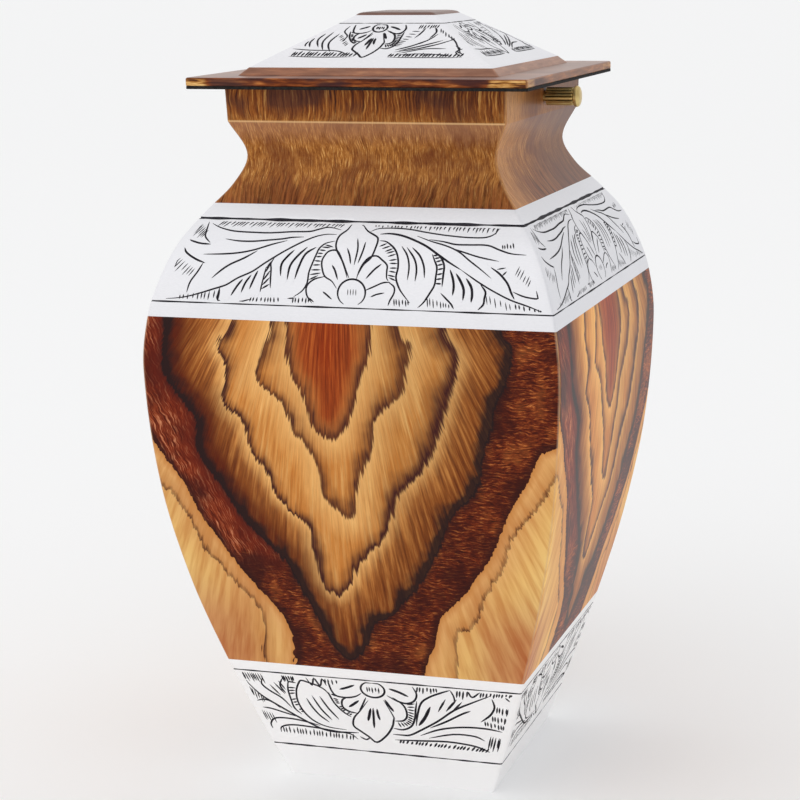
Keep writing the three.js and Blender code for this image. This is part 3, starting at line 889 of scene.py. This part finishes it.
def heart_wood(g, rings, fibre, across, side, wobble):
    """Honey wood inside the dark band: growth lines with feathered insides, and a red core."""
    fan, reach, _ = fibre
    streak = g.grain(fan, reach, side, 1.9, 0.045, detail=4.0, rough=0.62)
    broad = g.grain(fan, reach, side, 0.28, 0.03, 5.0, detail=2.0)
    colour = g.ramp(streak, [(0.3, (186, 114, 50)), (0.5, (210, 144, 74)), (0.7, (232, 178, 108))])
    colour = g.mix(g.ramp(broad, [(0.4, 0.0), (0.62, 0.5)]), colour, (190, 116, 46))
    wide = g.profile(across, [(-40, 0.8), (2, 0.95), (30, 1.9)], smooth=True)
    wide = g.times(wide, g.fma(wobble, 1.7, 0.25))
    core, inner_ring, middle_ring, outer = rings
    for ring in (core, inner_ring, middle_ring):
        pale = g.profile(ring, [(-0.4, 0.0), (0.3, 0.7), (2.5, 0.45), (9.0, 0.0)])
        colour = g.mix(pale, colour, (238, 186, 116))
        shade = g.profile(ring, [(-10.0, 0.0), (-4.0, 0.3), (-0.5, 0.7), (0.3, 0.0)])
        colour = g.mix(g.times(shade, g.times(streak, 1.6)), colour, (154, 80, 26))
    toward = g.profile(middle_ring, [(0.0, 0.0), (5.0, 0.8), (18.0, 0.95)])
    toward = g.times(toward, g.fma(g.odd(side), -0.55, 1.0))
    grain = g.ramp(streak, [(0.34, (92, 34, 6)), (0.5, (148, 78, 26)), (0.66, (206, 132, 62))])
    colour = g.mix(toward, colour, grain)
    ember = g.profile(across, [(-45, 1.0), (-5, 0.6), (30, 0.3)])
    feather = g.fma(streak, 8.0, g.add(outer, -4.0))
    glow = g.profile(feather, [(-16.0, 0.0), (-9.0, 0.45), (-4.5, 0.9), (0.0, 1.0)], smooth=True)
    colour = g.mix(g.times(glow, ember), colour, (78, 20, 6))
    red = g.ramp(streak, [(0.34, (104, 28, 2)), (0.5, (142, 50, 10)), (0.66, (178, 84, 30))])
    deep = g.profile(core, [(-15.0, 1.0), (-7.0, 0.9), (-1.5, 0.35)], smooth=True)
    inner = g.mix(deep, g.mix(streak, (160, 82, 28), (214, 146, 76)), red)
    colour = g.mix(g.math("LESS_THAN", core, 0.0), colour, inner)
    left_right = g.profile(across, [(-55, 1.12), (-5, 1.06), (18, 0.88), (60, 0.86)], smooth=True)
    colour = g.mix(1.0, colour, left_right, "MULTIPLY")
    for ring, level in ((core, 0.85), (inner_ring, 0.82), (middle_ring, 1.0)):
        thin = g.math("DIVIDE", ring, wide)
        mark = g.profile(thin, [(-4.4, 0.0), (-2.4, 0.3), (-1.1, 0.8), (-0.4, 1.0), (0.1, 0.85),
                                (0.5, 0.0)])
        fade = g.math("MULTIPLY", g.fma(streak, 1.2, 0.4), level, clamp=True)
        colour = g.mix(g.times(mark, fade), colour, (60, 24, 24))
    hairline = g.grain(fan, reach, side, 4.6, 0.08, 9.0, rough=0.65)
    fine = g.ramp(hairline, [(0.32, 0.84), (0.5, 1.0), (0.68, 1.1)])
    return g.mix(1.0, colour, fine, "MULTIPLY")


def curly_band(g, outer, edge, across, height, side, wobble):
    """The dark band: hair-fine fibres that lie level on the right and comb down on the left."""
    sway = g.fma(g.grain(across, height, side, 0.13, 0.2, detail=2.0), 3.4, -1.7)
    level = g.grain(across, g.add(height, sway), side, 0.26, 1.7, detail=4.0, rough=0.75)
    lean = g.add(g.fma(height, 0.42, across), g.times(sway, 1.1))
    hair = g.grain(lean, g.fma(across, -0.35, height), side, 1.5, 0.12, 4.0, rough=0.7)
    left = g.times(g.profile(across, [(-34, 1.0), (-20, 0.0)], smooth=True),
                   g.profile(height, [(78, 0.0), (98, 1.0)], smooth=True))
    combed = g.ramp(level, [(0.34, (38, 10, 4)), (0.47, (88, 28, 10)), (0.56, (130, 52, 18)),
                            (0.66, (206, 124, 62))])
    hairy = g.ramp(hair, [(0.32, (58, 16, 8)), (0.46, (112, 38, 14)), (0.56, (150, 66, 34)),
                          (0.66, (216, 142, 100))])
    colour = g.mix(left, combed, hairy)
    patch = g.grain(across, height, side, 0.07, 0.055, 2.0, rough=0.6)
    colour = g.mix(g.ramp(patch, [(0.36, 0.85), (0.46, 0.45), (0.58, 0.0)]), colour, (54, 14, 10))
    golden = g.times(g.ramp(patch, [(0.54, 0.0), (0.7, 0.45)]), g.rest(left))
    colour = g.mix(golden, colour, g.mix(level, (96, 36, 10), (214, 130, 62)))
    ruddy = g.times(left, g.profile(outer, [(0.0, 0.8), (9.0, 0.0)]))
    colour = g.mix(ruddy, colour, (112, 30, 10))
    inside = g.profile(outer, [(0.0, 1.0), (1.0, 0.5), (3.4, 0.0)])
    outside = g.profile(edge, [(-3.0, 0.0), (-1.2, 0.75), (0.0, 1.0)])
    colour = g.mix(g.times(inside, g.fma(wobble, 1.2, 0.3)), colour, (38, 18, 18))
    return g.mix(g.times(outside, g.fma(wobble, 1.4, 0.2)), colour, (52, 18, 14))


def sap_wood(g, edge, line, fibre, across, height, side):
    """Pale honey to yellow, one thin broken line, and a red blush in the lower corners."""
    fan, reach, _ = fibre
    streak = g.grain(fan, reach, side, 1.1, 0.035, 2.0, rough=0.6)
    colour = g.profile(edge, [(0.0, (200, 132, 70)), (2.5, (226, 170, 106)), (12.0, (234, 186, 112)),
                              (26.0, (248, 216, 140))])
    colour = g.mix(g.ramp(streak, [(0.35, 0.7), (0.6, 0.0)]), colour, (200, 132, 66))
    low = g.profile(height, [(50, 1.0), (62, 0.85), (88, 0.0)], smooth=True)
    corner = g.profile(g.math("ABSOLUTE", across), [(33, 0.0), (47, 0.7), (58, 0.9)], smooth=True)
    blush = g.mix(g.ramp(streak, [(0.35, 1.0), (0.65, 0.4)]), (206, 128, 82), (166, 74, 38))
    colour = g.mix(g.times(low, corner), colour, blush)
    mark = g.profile(line, [(-1.3, 0.0), (-0.55, 0.7), (0.15, 1.0), (0.45, 0.0)])
    ghost = g.profile(line, [(-5.0, 0.0), (-0.6, 0.55), (0.2, 0.0)])
    colour = g.mix(ghost, colour, (178, 106, 52))
    return g.mix(g.times(mark, g.ramp(streak, [(0.34, 1.0), (0.62, 0.45)])), colour, (84, 44, 28))


GLOSS = {"Specular_IOR_Level": 0.09, "Coat_Weight": 0.03, "Coat_Roughness": 0.22}


def belly_wood():
    """The printed figure of the four belly panels under a clear gloss."""
    g = Graph("belly_wood_enamel")
    fibre = g.split(g.attribute("fibre"))
    fan, reach, corner_highlight_mask = fibre
    across, height, side = g.split(g.attribute("panel"))
    wobble = g.grain(across, height, side, 0.11, 0.09, 1.0, detail=2.0)
    teeth = g.grain(fan, reach, side, 2.0, 0.02, detail=2.0, rough=0.7)
    jag = g.add(g.fma(teeth, 5.4, -2.7), g.fma(wobble, 4.0, -2.0))
    rings = [g.add(ring, jag) for ring in g.split(g.attribute("rings_in"))]
    last, band_edge, thin_line = g.split(g.attribute("rings_out"))
    last = g.add(last, g.times(jag, 0.6))
    band_edge = g.add(band_edge, g.times(jag, 0.4))
    thin_line = g.add(thin_line, g.times(jag, 0.8))
    colour = heart_wood(g, [*rings, last], fibre, across, side, wobble)
    fur = curly_band(g, last, band_edge, across, height, side, wobble)
    colour = g.mix(g.math("GREATER_THAN", last, 0.0), colour, fur)
    knots = g.grain(across, height, side, 0.16, 0.13, 6.0, detail=2.0)
    char = g.profile(g.math("DIVIDE", last, g.fma(knots, 3.0, -0.5)),
                     [(-4.6, 0.0), (-3.0, 0.4), (-1.6, 1.0), (0.3, 1.0), (1.0, 0.0)])
    colour = g.mix(g.times(char, 0.92), colour, (36, 22, 22))
    sap = sap_wood(g, band_edge, thin_line, fibre, across, height, side)
    colour = g.mix(g.math("GREATER_THAN", band_edge, 0.0), colour, sap)
    # Painted highlight: a light tan line along the eased corners, broken up by noise.
    colour = g.mix(g.times(corner_highlight_mask, g.times(wobble, 0.9)), colour, (214, 178, 146))
    # Painted light: the side panels are made lighter and warmer to offset the greyer light and reflection
    # they catch at a grazing angle.
    painted_side_light = g.mix(1.0, colour, (1.2, 1.13, 0.9, 1), "MULTIPLY")
    colour = g.mix(g.odd(side), colour, painted_side_light)
    return g.finish(Base_Color=colour, Roughness=0.36, **GLOSS)


def neck_wood():
    """Short upright hairs, darker by the band and under the rim, with painted highlights on the crease
    and the corners, and a painted band of reflection and shade below the crease.
    """
    g = Graph("neck_wood_enamel")
    across, height, side = g.split(g.attribute("panel"))
    corner_highlight_mask = g.split(g.attribute("fibre"))[2]
    odd = g.odd(side)
    bend = g.fma(g.grain(across, height, side, 0.05, 0.08, detail=2.0), 4.0, -2.0)
    leaned = g.add(across, bend)
    hairs = g.grain(leaned, height, side, 2.5, 0.24, detail=4.0, rough=0.75)
    hairs = g.fma(g.add(hairs, -0.5), g.fma(odd, -0.3, 1.0), 0.5)
    tufts = g.grain(leaned, height, side, 0.45, 0.13, 3.0, rough=0.65)
    strands = g.grain(leaned, height, side, 1.0, 0.05, 11.0, detail=4.0, rough=0.72)
    broad = g.grain(across, height, side, 0.05, 0.05, 7.0, detail=2.0)
    colour = g.ramp(hairs, [(0.32, (90, 40, 12)), (0.46, (154, 92, 36)), (0.55, (186, 122, 56)),
                            (0.68, (236, 184, 112))])
    colour = g.mix(g.ramp(tufts, [(0.38, 0.5), (0.52, 0.0)]), colour, (116, 60, 22))
    colour = g.mix(g.ramp(tufts, [(0.54, 0.0), (0.68, 0.3)]), colour, (222, 160, 88))
    colour = g.mix(g.ramp(broad, [(0.4, 0.6), (0.5, 0.0)]), colour, (112, 54, 24))
    ragged = g.fma(tufts, 16.0, g.add(height, -8.0))
    foot = g.profile(ragged, [(209, 0.9), (214, 0.6), (222, 0.0)], smooth=True)
    colour = g.mix(foot, colour, g.ramp(strands, [(0.4, (66, 24, 10)), (0.6, (156, 90, 46))]))
    # Painted reflection and shade: a soft mauve band just below the crease, greyer on the front and
    # darker on the sides.
    ragged = g.fma(tufts, 8.0, g.add(height, -4.0))
    under = g.profile(ragged, [(228, 0.0), (235, 0.45), (CREASE, 0.55)], smooth=True)
    painted_reflection_and_shade = g.mix(odd, (176, 128, 98), (116, 86, 80))
    colour = g.mix(g.times(under, g.profile(height, [(CREASE - 0.1, 1.0), (CREASE, 0.0)])), colour, painted_reflection_and_shade)
    lip = g.profile(g.fma(tufts, -12.0, g.add(height, 6.0)), [(236.5, 0.2), (240.0, 0.8), (244.0, 1.0)])
    lip = g.times(lip, g.profile(height, [(CREASE, 0.0), (CREASE + 0.8, 1.0)]))
    rind = g.ramp(strands, [(0.36, (62, 26, 16)), (0.46, (114, 54, 18)), (0.56, (164, 94, 36)),
                            (0.66, (226, 166, 90))])
    dark = g.mix(strands, (34, 14, 18), (110, 62, 46))
    rind = g.mix(g.ramp(broad, [(0.38, 0.8), (0.5, 0.0)]), rind, dark)
    colour = g.mix(g.times(lip, g.fma(odd, -0.6, 1.0)), colour, rind)
    far = g.profile(g.fma(tufts, 30.0, across), [(-10, 0.0), (50, 0.6)], smooth=True)
    colour = g.mix(g.times(odd, far), colour, (116, 84, 70))
    near = g.profile(g.fma(tufts, 40.0, g.add(across, -20.0)), [(-50, 0.7), (-15, 0.0)], smooth=True)
    bright = g.ramp(hairs, [(0.4, (178, 108, 48)), (0.6, (236, 174, 100))])
    colour = g.mix(g.times(odd, near), colour, bright)
    tone = g.profile(across, [(-55, 1.07), (5, 0.98), (55, 0.86)])
    front = g.rest(odd)
    colour = g.mix(front, colour, g.mix(1.0, colour, tone, "MULTIPLY"))
    # Painted highlight: a light line along the crease, on the front and back faces only.
    crease = g.profile(height, [(CREASE - 0.45, 0.0), (CREASE, 0.8), (CREASE + 0.45, 0.0)])
    colour = g.mix(g.times(crease, front), colour, (240, 196, 140))
    # Painted highlight along the eased corners, fainter than on the belly.
    colour = g.mix(g.times(corner_highlight_mask, 0.35), colour, (200, 156, 112))
    return g.finish(Base_Color=colour, Roughness=0.36, **GLOSS)


def lid_wood():
    """Brown streaks along the lid's edges, with gold patches near the flange's corners."""
    g = Graph("lid_wood_enamel")
    across, height, side = g.split(g.attribute("panel"))
    streaks = g.grain(across, height, side, 0.08, 0.8, detail=4.0, rough=0.65)
    odd = g.odd(side)
    broad = g.grain(across, height, side, 0.06, 0.12, 3.0, detail=2.0)
    colour = g.ramp(streaks, [(0.36, (56, 22, 14)), (0.46, (98, 44, 20)), (0.56, (140, 72, 30)),
                              (0.66, (184, 114, 58))])
    colour = g.mix(g.ramp(broad, [(0.38, 0.85), (0.5, 0.0)]), colour, (62, 34, 34))
    colour = g.mix(g.times(odd, 0.55), colour, g.mix(streaks, (136, 88, 62), (190, 144, 110)))
    foot = g.profile(height, [(FLANGE_TOP + 0.05, 0.0), (FLANGE_TOP + 0.3, 0.75), (FOOT_TOP, 0.6)])
    colour = g.mix(foot, colour, g.mix(streaks, (118, 66, 44), (196, 150, 124)))
    level = g.profile(height, [(FLANGE_TOP - 0.1, 0.0), (FLANGE_TOP, 0.7), (FLANGE_TOP + 0.1, 0.0)])
    colour = g.mix(level, colour, g.mix(streaks, (104, 66, 54), (170, 138, 124)))
    cap = g.profile(height, [(PYRAMID_TOP - 0.2, 0.0), (PYRAMID_TOP, 0.75)])
    colour = g.mix(cap, colour, g.mix(streaks, (70, 44, 38), (124, 96, 88)))
    place = g.fma(broad, 6.0, g.add(across, -3.0))
    rim = g.profile(height, [(FLANGE_TOP - 0.5, 1.0), (FLANGE_TOP - 0.2, 0.0)])
    ends = g.profile(place, [(-60, 1.0), (-52.5, 1.0), (-51, 0.0), (45.5, 0.0), (47, 1.0), (60, 1.0)])
    gold = g.ramp(streaks, [(0.4, (86, 44, 22)), (0.48, (176, 118, 54)), (0.6, (232, 186, 118))])
    colour = g.mix(g.times(g.times(ends, rim), g.fma(odd, -0.6, 1.0)), colour, gold)
    dusk = g.profile(place, [(-51.0, 0.0), (-49.0, 0.85), (-40.0, 0.7), (-32.0, 0.0)])
    colour = g.mix(g.times(dusk, rim), colour, g.mix(streaks, (44, 26, 28), (104, 66, 54)))
    return g.finish(Base_Color=colour, Roughness=0.32, **GLOSS)


def bare_metal():
    """Satin aluminium, with a painted reflection of the white floor that makes it almost white towards
    the base.
    """
    g = Graph("bare_aluminium")
    x, y, z = g.split(g.place())
    speck = g.noise(g.join(x, y, g.times(z, 3.0)), 900.0, 3.0, 0.6)
    cloud = g.noise(g.place(), 22.0, 2.0)
    g.bump(speck, 0.12, 0.0002)
    colour = g.mix(g.ramp(speck, [(0.3, 0.35), (0.7, 0.0)]), (238, 237, 240), (214, 214, 218))
    colour = g.mix(g.ramp(cloud, [(0.35, 0.4), (0.65, 0.0)]), colour, (226, 227, 231))
    # Painted reflection: near white from the wood's foot down, fading out by the wood's top, for the
    # white floor's light.
    low = g.profile(z, [(WOOD_BOTTOM * MM, 1.0), (WOOD_TOP * MM, 0.0)])
    colour = g.mix(low, colour, (254, 253, 253))
    rough = g.ramp(speck, [(0.3, 0.42), (0.7, 0.56)])
    return g.finish(Base_Color=colour, Metallic=0.4, Roughness=rough)


def engraving_ink():
    """Dark ink in the cuts."""
    g = Graph("engraving_ink")
    speck = g.noise(g.place(), 700.0, 2.0)
    colour = g.ramp(speck, [(0.3, (24, 22, 28)), (0.7, (50, 47, 55))])
    return g.finish(Base_Color=colour, Roughness=0.6, Specular_IOR_Level=0.2)


def inner_metal():
    """The rough casting inside the vessel and under the lid."""
    g = Graph("cast_aluminium_inside")
    speck = g.noise(g.place(), 260.0, 4.0, 0.6)
    colour = g.ramp(speck, [(0.3, (150, 150, 154)), (0.7, (190, 190, 194))])
    g.bump(speck, 0.3, 0.0005)
    return g.finish(Base_Color=colour, Metallic=0.9, Roughness=0.5)


def black_liner():
    """Dull black rubber."""
    g = Graph("black_liner")
    speck = g.noise(g.place(), 1500.0, 2.0)
    colour = g.ramp(speck, [(0.3, (16, 15, 14)), (0.7, (42, 38, 36))])
    return g.finish(Base_Color=colour, Roughness=0.85, Specular_IOR_Level=0.2)


def brass():
    """Warm brass, with painted shade in the grooves of the grip. The panel's first value is the sunk
    part.
    """
    g = Graph("brass")
    sunk = g.split(g.attribute("panel"))[0]
    speck = g.noise(g.place(), 500.0, 3.0)
    colour = g.mix(speck, (176, 146, 84), (226, 204, 140))
    # Painted shade: the grip's grooves are darkened by their depth.
    colour = g.mix(g.profile(sunk, [(0.1, 0.0), (0.4, 1.0)]), colour, (58, 40, 16))
    return g.finish(Base_Color=colour, Metallic=0.85, Roughness=0.3)


LOOKS = {
    "wood": belly_wood(), "neck": neck_wood(), "lid": lid_wood(), "metal": bare_metal(),
    "ink": engraving_ink(), "inside": inner_metal(), "brass": brass(),
}
LINER = black_liner()


def vessel():
    """The whole vessel: base, bands, belly, neck, lip and the hollow inside."""
    build = Build()
    columns = side_columns()
    rows = plain_rows(0.0, PLAIN_LINE - 1.0, 2.4, "metal")
    rows += plain_rows(PLAIN_LINE - 1.0, PLAIN_LINE - LINE_HALF, 1.0, "metal")
    rows += line_rows(PLAIN_LINE, "metal")
    rows += plain_rows(PLAIN_LINE + AFTER_LINE, LOWER_ZONE[0], 1.6, "metal")
    rows += engraved_rows(LOWER_ZONE, 2.2)
    rows += line_rows(LOWER_BAND[1], "metal", half=0.3)
    rows += plain_rows(LOWER_BAND[1] + AFTER_LINE, WOOD_BOTTOM, 1.3, "metal")
    rows += plain_rows(WOOD_BOTTOM, WOOD_TOP, 1.7, "wood")
    rows += plain_rows(WOOD_TOP, UPPER_BAND[0] - 1.0, 1.5, "metal")
    rows += [(UPPER_BAND[0] - 1.0, 0.0, 0.0, "metal")]
    rows += line_rows(UPPER_BAND[0], "metal", half=0.26)
    rows += engraved_rows(UPPER_ZONE, 1.8)
    rows += line_rows(UPPER_BAND[1], "metal", half=0.45)
    rows += plain_rows(UPPER_BAND[1] + AFTER_LINE, NECK_BOTTOM, 1.2, "metal")
    rows += plain_rows(NECK_BOTTOM, CREASE - CREASE_REACH, 1.3, "neck")
    rows += [(CREASE + step, 0.0, 0.0, "neck") for step in (-CREASE_REACH, 0.0, CREASE_REACH)]
    rows += plain_rows(CREASE + 1.5, RIM_HEIGHT, 1.8, "neck")
    rows += [(RIM_HEIGHT, 0.0, 0.0, "neck")]
    motifs = {LOWER_ZONE[0]: (lower_motif(), LOWER_BAND), UPPER_ZONE[0]: (upper_motif(), UPPER_BAND)}
    base, rims = [], []
    for side in range(4):
        grid = strip(build, side, VESSEL, rows, columns, motifs, seed=side)
        base.append(grid[0])
        rims.append(grid[-1])
    ring = [i for line in base for i in line[:-1]]
    build.face(ring[::-1], "metal")
    hollow(build, rims)
    return build.mesh("urn_vessel", LOOKS)


def hollow(build, rims):
    """The inside, a wall's thickness in from the outside, and the rim's flat top."""
    heights = [RIM_HEIGHT] + row_heights(NECK_BOTTOM, CREASE, 5.0)[::-1]
    heights += row_heights(FLOOR, NECK_BOTTOM - 4, 8.0)[::-1]
    corners = []
    for height in heights:
        out, _ = VESSEL.normal(min(height, RIM_HEIGHT - 1))
        half = float(VESSEL.half(height)) - WALL / out
        corners.append([build.add(turned(side, -half, -half, height)) for side in range(4)])
    for upper, lower in zip(corners, corners[1:]):
        for side in range(4):
            after = (side + 1) % 4
            build.face((upper[side], upper[after], lower[after], lower[side]), "inside")
    build.face(corners[-1], "inside")
    for side in range(4):
        build.face([*rims[side], corners[0][(side + 1) % 4], corners[0][side]], "inside")


def lid():
    """Flange, foot, engraved pyramid and cap in one shell, with the hollow and skirt below."""
    build = Build()
    columns = side_columns(LID_STEPS)
    rows = plain_rows(FOOT_TOP, LID_ZONE[0], 0.8, "metal") + engraved_rows(LID_ZONE, 1.2)
    rows += line_rows(LID_BAND[1], "metal", half=0.13, depth=0.2)
    rows += plain_rows(LID_BAND[1] + 0.5, PYRAMID_TOP, 1.0, "metal") + [(PYRAMID_TOP, 0.0, 0.0, "metal")]
    motifs = {LID_ZONE[0]: (lid_motif(), LID_BAND)}
    feet, tops = [], []
    for side in range(4):
        grid = strip(build, side, PYRAMID, rows, columns, motifs, seed=side + 4)
        feet.append(grid[0])
        tops.append(grid[-1])
    ring = [i for line in tops for i in line[:-1]]
    rise = CAP_TOP - PYRAMID_TOP
    for half, part in CAP_ROUNDING:
        upper = level_ring(build, columns, half, PYRAMID_TOP + rise * part)
        join_rings(build, ring, upper, "lid")
        ring = upper
    build.face(ring, "lid")
    skirt_inner = SKIRT_HALF - SKIRT_WALL
    slope = (PYRAMID_TOP - FOOT_TOP) / (FOOT_TOP_HALF - CAP_HALF)
    drop = WALL * math.hypot(1, slope)
    path = [
        (CAP_HALF, PYRAMID_TOP - drop),
        (skirt_inner, FOOT_TOP - drop + (FOOT_TOP_HALF - skirt_inner) * slope),
        (skirt_inner, FLANGE_BOTTOM - SKIRT_DEPTH), (SKIRT_HALF, FLANGE_BOTTOM - SKIRT_DEPTH),
        (SKIRT_HALF, FLANGE_BOTTOM), (FLANGE_HALF - LOW_EASE, FLANGE_BOTTOM),
        (FLANGE_HALF, FLANGE_BOTTOM + LOW_EASE), (FLANGE_HALF, FLANGE_TOP - TOP_EASE),
        (FLANGE_HALF - TOP_EASE, FLANGE_TOP), (FOOT_HALF, FLANGE_TOP),
    ]
    looks = 5 * ["inside"] + 4 * ["lid"]
    rings = [level_ring(build, columns, half, height) for half, height in path]
    for lower, upper, look in zip(rings, rings[1:], looks):
        join_rings(build, lower, upper, look)
    join_rings(build, rings[-1], [i for line in feet for i in line[:-1]], "lid")
    build.face(rings[0][::-1], "inside")
    return build.mesh("urn_lid", LOOKS)


def level_ring(build, columns, half, height):
    """One level ring of points round the four sides, in the columns' order."""
    ring = []
    flat = Outline([height - 5, height + 5], [half, half])
    for side in range(4):
        ring += [build.add(*on_side(side, flat, column, height)) for column in columns[:-1]]
    return ring


def join_rings(build, lower, upper, look):
    for i in range(len(lower)):
        j = (i + 1) % len(lower)
        build.face((lower[i], lower[j], upper[j], upper[i]), look)


# The thumb screw: [along X, radius, depth of the grip's grooves].
SCREW_HEIGHT = 242.9
SCREW = [
    (44.9, 1.9, 0.0), (49.7, 1.9, 0.0), (49.75, 2.5, 0.0), (50.0, 3.1, 0.45), (59.3, 3.1, 0.45),
    (59.6, 2.9, 0.1), (59.75, 3.3, 0.0), (60.1, 3.62, 0.0), (60.9, 3.65, 0.0), (61.5, 3.2, 0.0),
    (61.85, 2.3, 0.0), (62.0, 1.0, 0.0),
]
REEDS = 14


def thumb_screw():
    """Reeded grip with a wider rounded collar, on a plain shank."""
    build = Build()
    turns = np.radians(np.arange(0, 360, 360 / (8 * REEDS)))
    rings = []
    for along, radius, depth in SCREW:
        ring = []
        for turn in turns:
            dip = max(0.0, math.cos(REEDS * turn)) ** 1.5
            r = radius - depth * dip
            spot = (along, r * math.cos(turn), SCREW_HEIGHT + r * math.sin(turn))
            # The groove's depth goes into the panel values, where it masks the brass's painted shade.
            ring.append(build.add(spot, (depth * dip, 0.0, 0.0)))
        rings.append(ring)
    for near, far in zip(rings, rings[1:]):
        join_rings(build, near, far, "brass")
    build.face(rings[0][::-1], "brass")
    build.face(rings[-1], "brass")
    return build.mesh("thumb_screw", LOOKS)


def ready(piece, node):
    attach(piece, "root")
    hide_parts(node)


ready(vessel(), "urn_body")
ready(lid(), "lid")
ready(thumb_screw(), "lock_screw")
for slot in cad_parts["lid_gasket"].material_slots:
    slot.material = LINER


# The studio, in metres and watts.
FLOOR_SIZE = 60.0
WORLD_STRENGTH = 1.03
WORLD_ENDS = ((0.1, (1.0, 1.0, 1.0, 1)), (0.85, (0.68, 0.69, 0.71, 1)))
KEY_AT = (-0.9, -1.5, 1.5)
KEY_AIM = (0, 0, 0.14)
KEY_SIZE = 1.4
KEY_POWER = 2.2


def studio():
    """Pale floor, white surroundings that are dimmer on the right, and a soft key light."""
    bpy.ops.mesh.primitive_plane_add(size=FLOOR_SIZE, location=(0, 0, 0))
    floor = bpy.context.object
    floor.name = "floor"
    g = Graph("pale_floor")
    floor.data.materials.append(g.finish(Base_Color=(0.94, 0.94, 0.94, 1), Roughness=0.9,
                                         Specular_IOR_Level=0.1))
    world = bpy.data.worlds.new("studio")
    bpy.context.scene.world = world
    world.use_nodes = True
    nodes, links = world.node_tree.nodes, world.node_tree.links
    place = nodes.new("ShaderNodeTexCoord")
    parts = nodes.new("ShaderNodeSeparateXYZ")
    ramp = nodes.new("ShaderNodeValToRGB")
    links.new(place.outputs["Generated"], parts.inputs[0])
    links.new(parts.outputs[0], ramp.inputs[0])
    links.new(ramp.outputs[0], nodes["Background"].inputs[0])
    for element, (position, colour) in zip(ramp.color_ramp.elements, WORLD_ENDS):
        element.position = position
        element.color = colour
    nodes["Background"].inputs[1].default_value = WORLD_STRENGTH
    data = bpy.data.lights.new("key", "AREA")
    data.size = KEY_SIZE
    data.energy = KEY_POWER
    lamp = bpy.data.objects.new("key", data)
    lamp.location = KEY_AT
    lamp.rotation_euler = (Vector(KEY_AIM) - Vector(KEY_AT)).to_track_quat("-Z", "Y").to_euler()
    bpy.context.scene.collection.objects.link(lamp)


# The camera, from a least-squares fit to the photo's silhouette and to the corners of the
# flange, the bands and the base.
YAW, PITCH, ROLL = (math.radians(a) for a in (15.64, 12.24, 0.59))
CAMERA_AT = (232.65, -691.57, 290.46)
FOCAL_PIXELS = 2047.7
IMAGE_SIDE = 800.0
AXIS_PIXEL = 520.0
SENSOR = 36.0


def camera():
    right = Vector((math.cos(YAW), math.sin(YAW), 0))
    ahead = Vector((-math.sin(YAW) * math.cos(PITCH), math.cos(YAW) * math.cos(PITCH), -math.sin(PITCH)))
    down = ahead.cross(right)
    rolled = math.cos(ROLL) * right + math.sin(ROLL) * down
    under = -math.sin(ROLL) * right + math.cos(ROLL) * down
    turn = Matrix((rolled, -under, -ahead)).transposed()
    data = bpy.data.cameras.new("camera")
    data.sensor_width = SENSOR
    data.lens = FOCAL_PIXELS / IMAGE_SIDE * SENSOR
    data.shift_x = (IMAGE_SIDE / 2 - AXIS_PIXEL) / IMAGE_SIDE
    eye = bpy.data.objects.new("camera", data)
    eye.matrix_world = Matrix.Translation(Vector(CAMERA_AT) * MM) @ turn.to_4x4()
    bpy.context.scene.collection.objects.link(eye)
    bpy.context.scene.camera = eye


studio()
camera()
bpy.context.scene.view_settings.view_transform = "Standard"
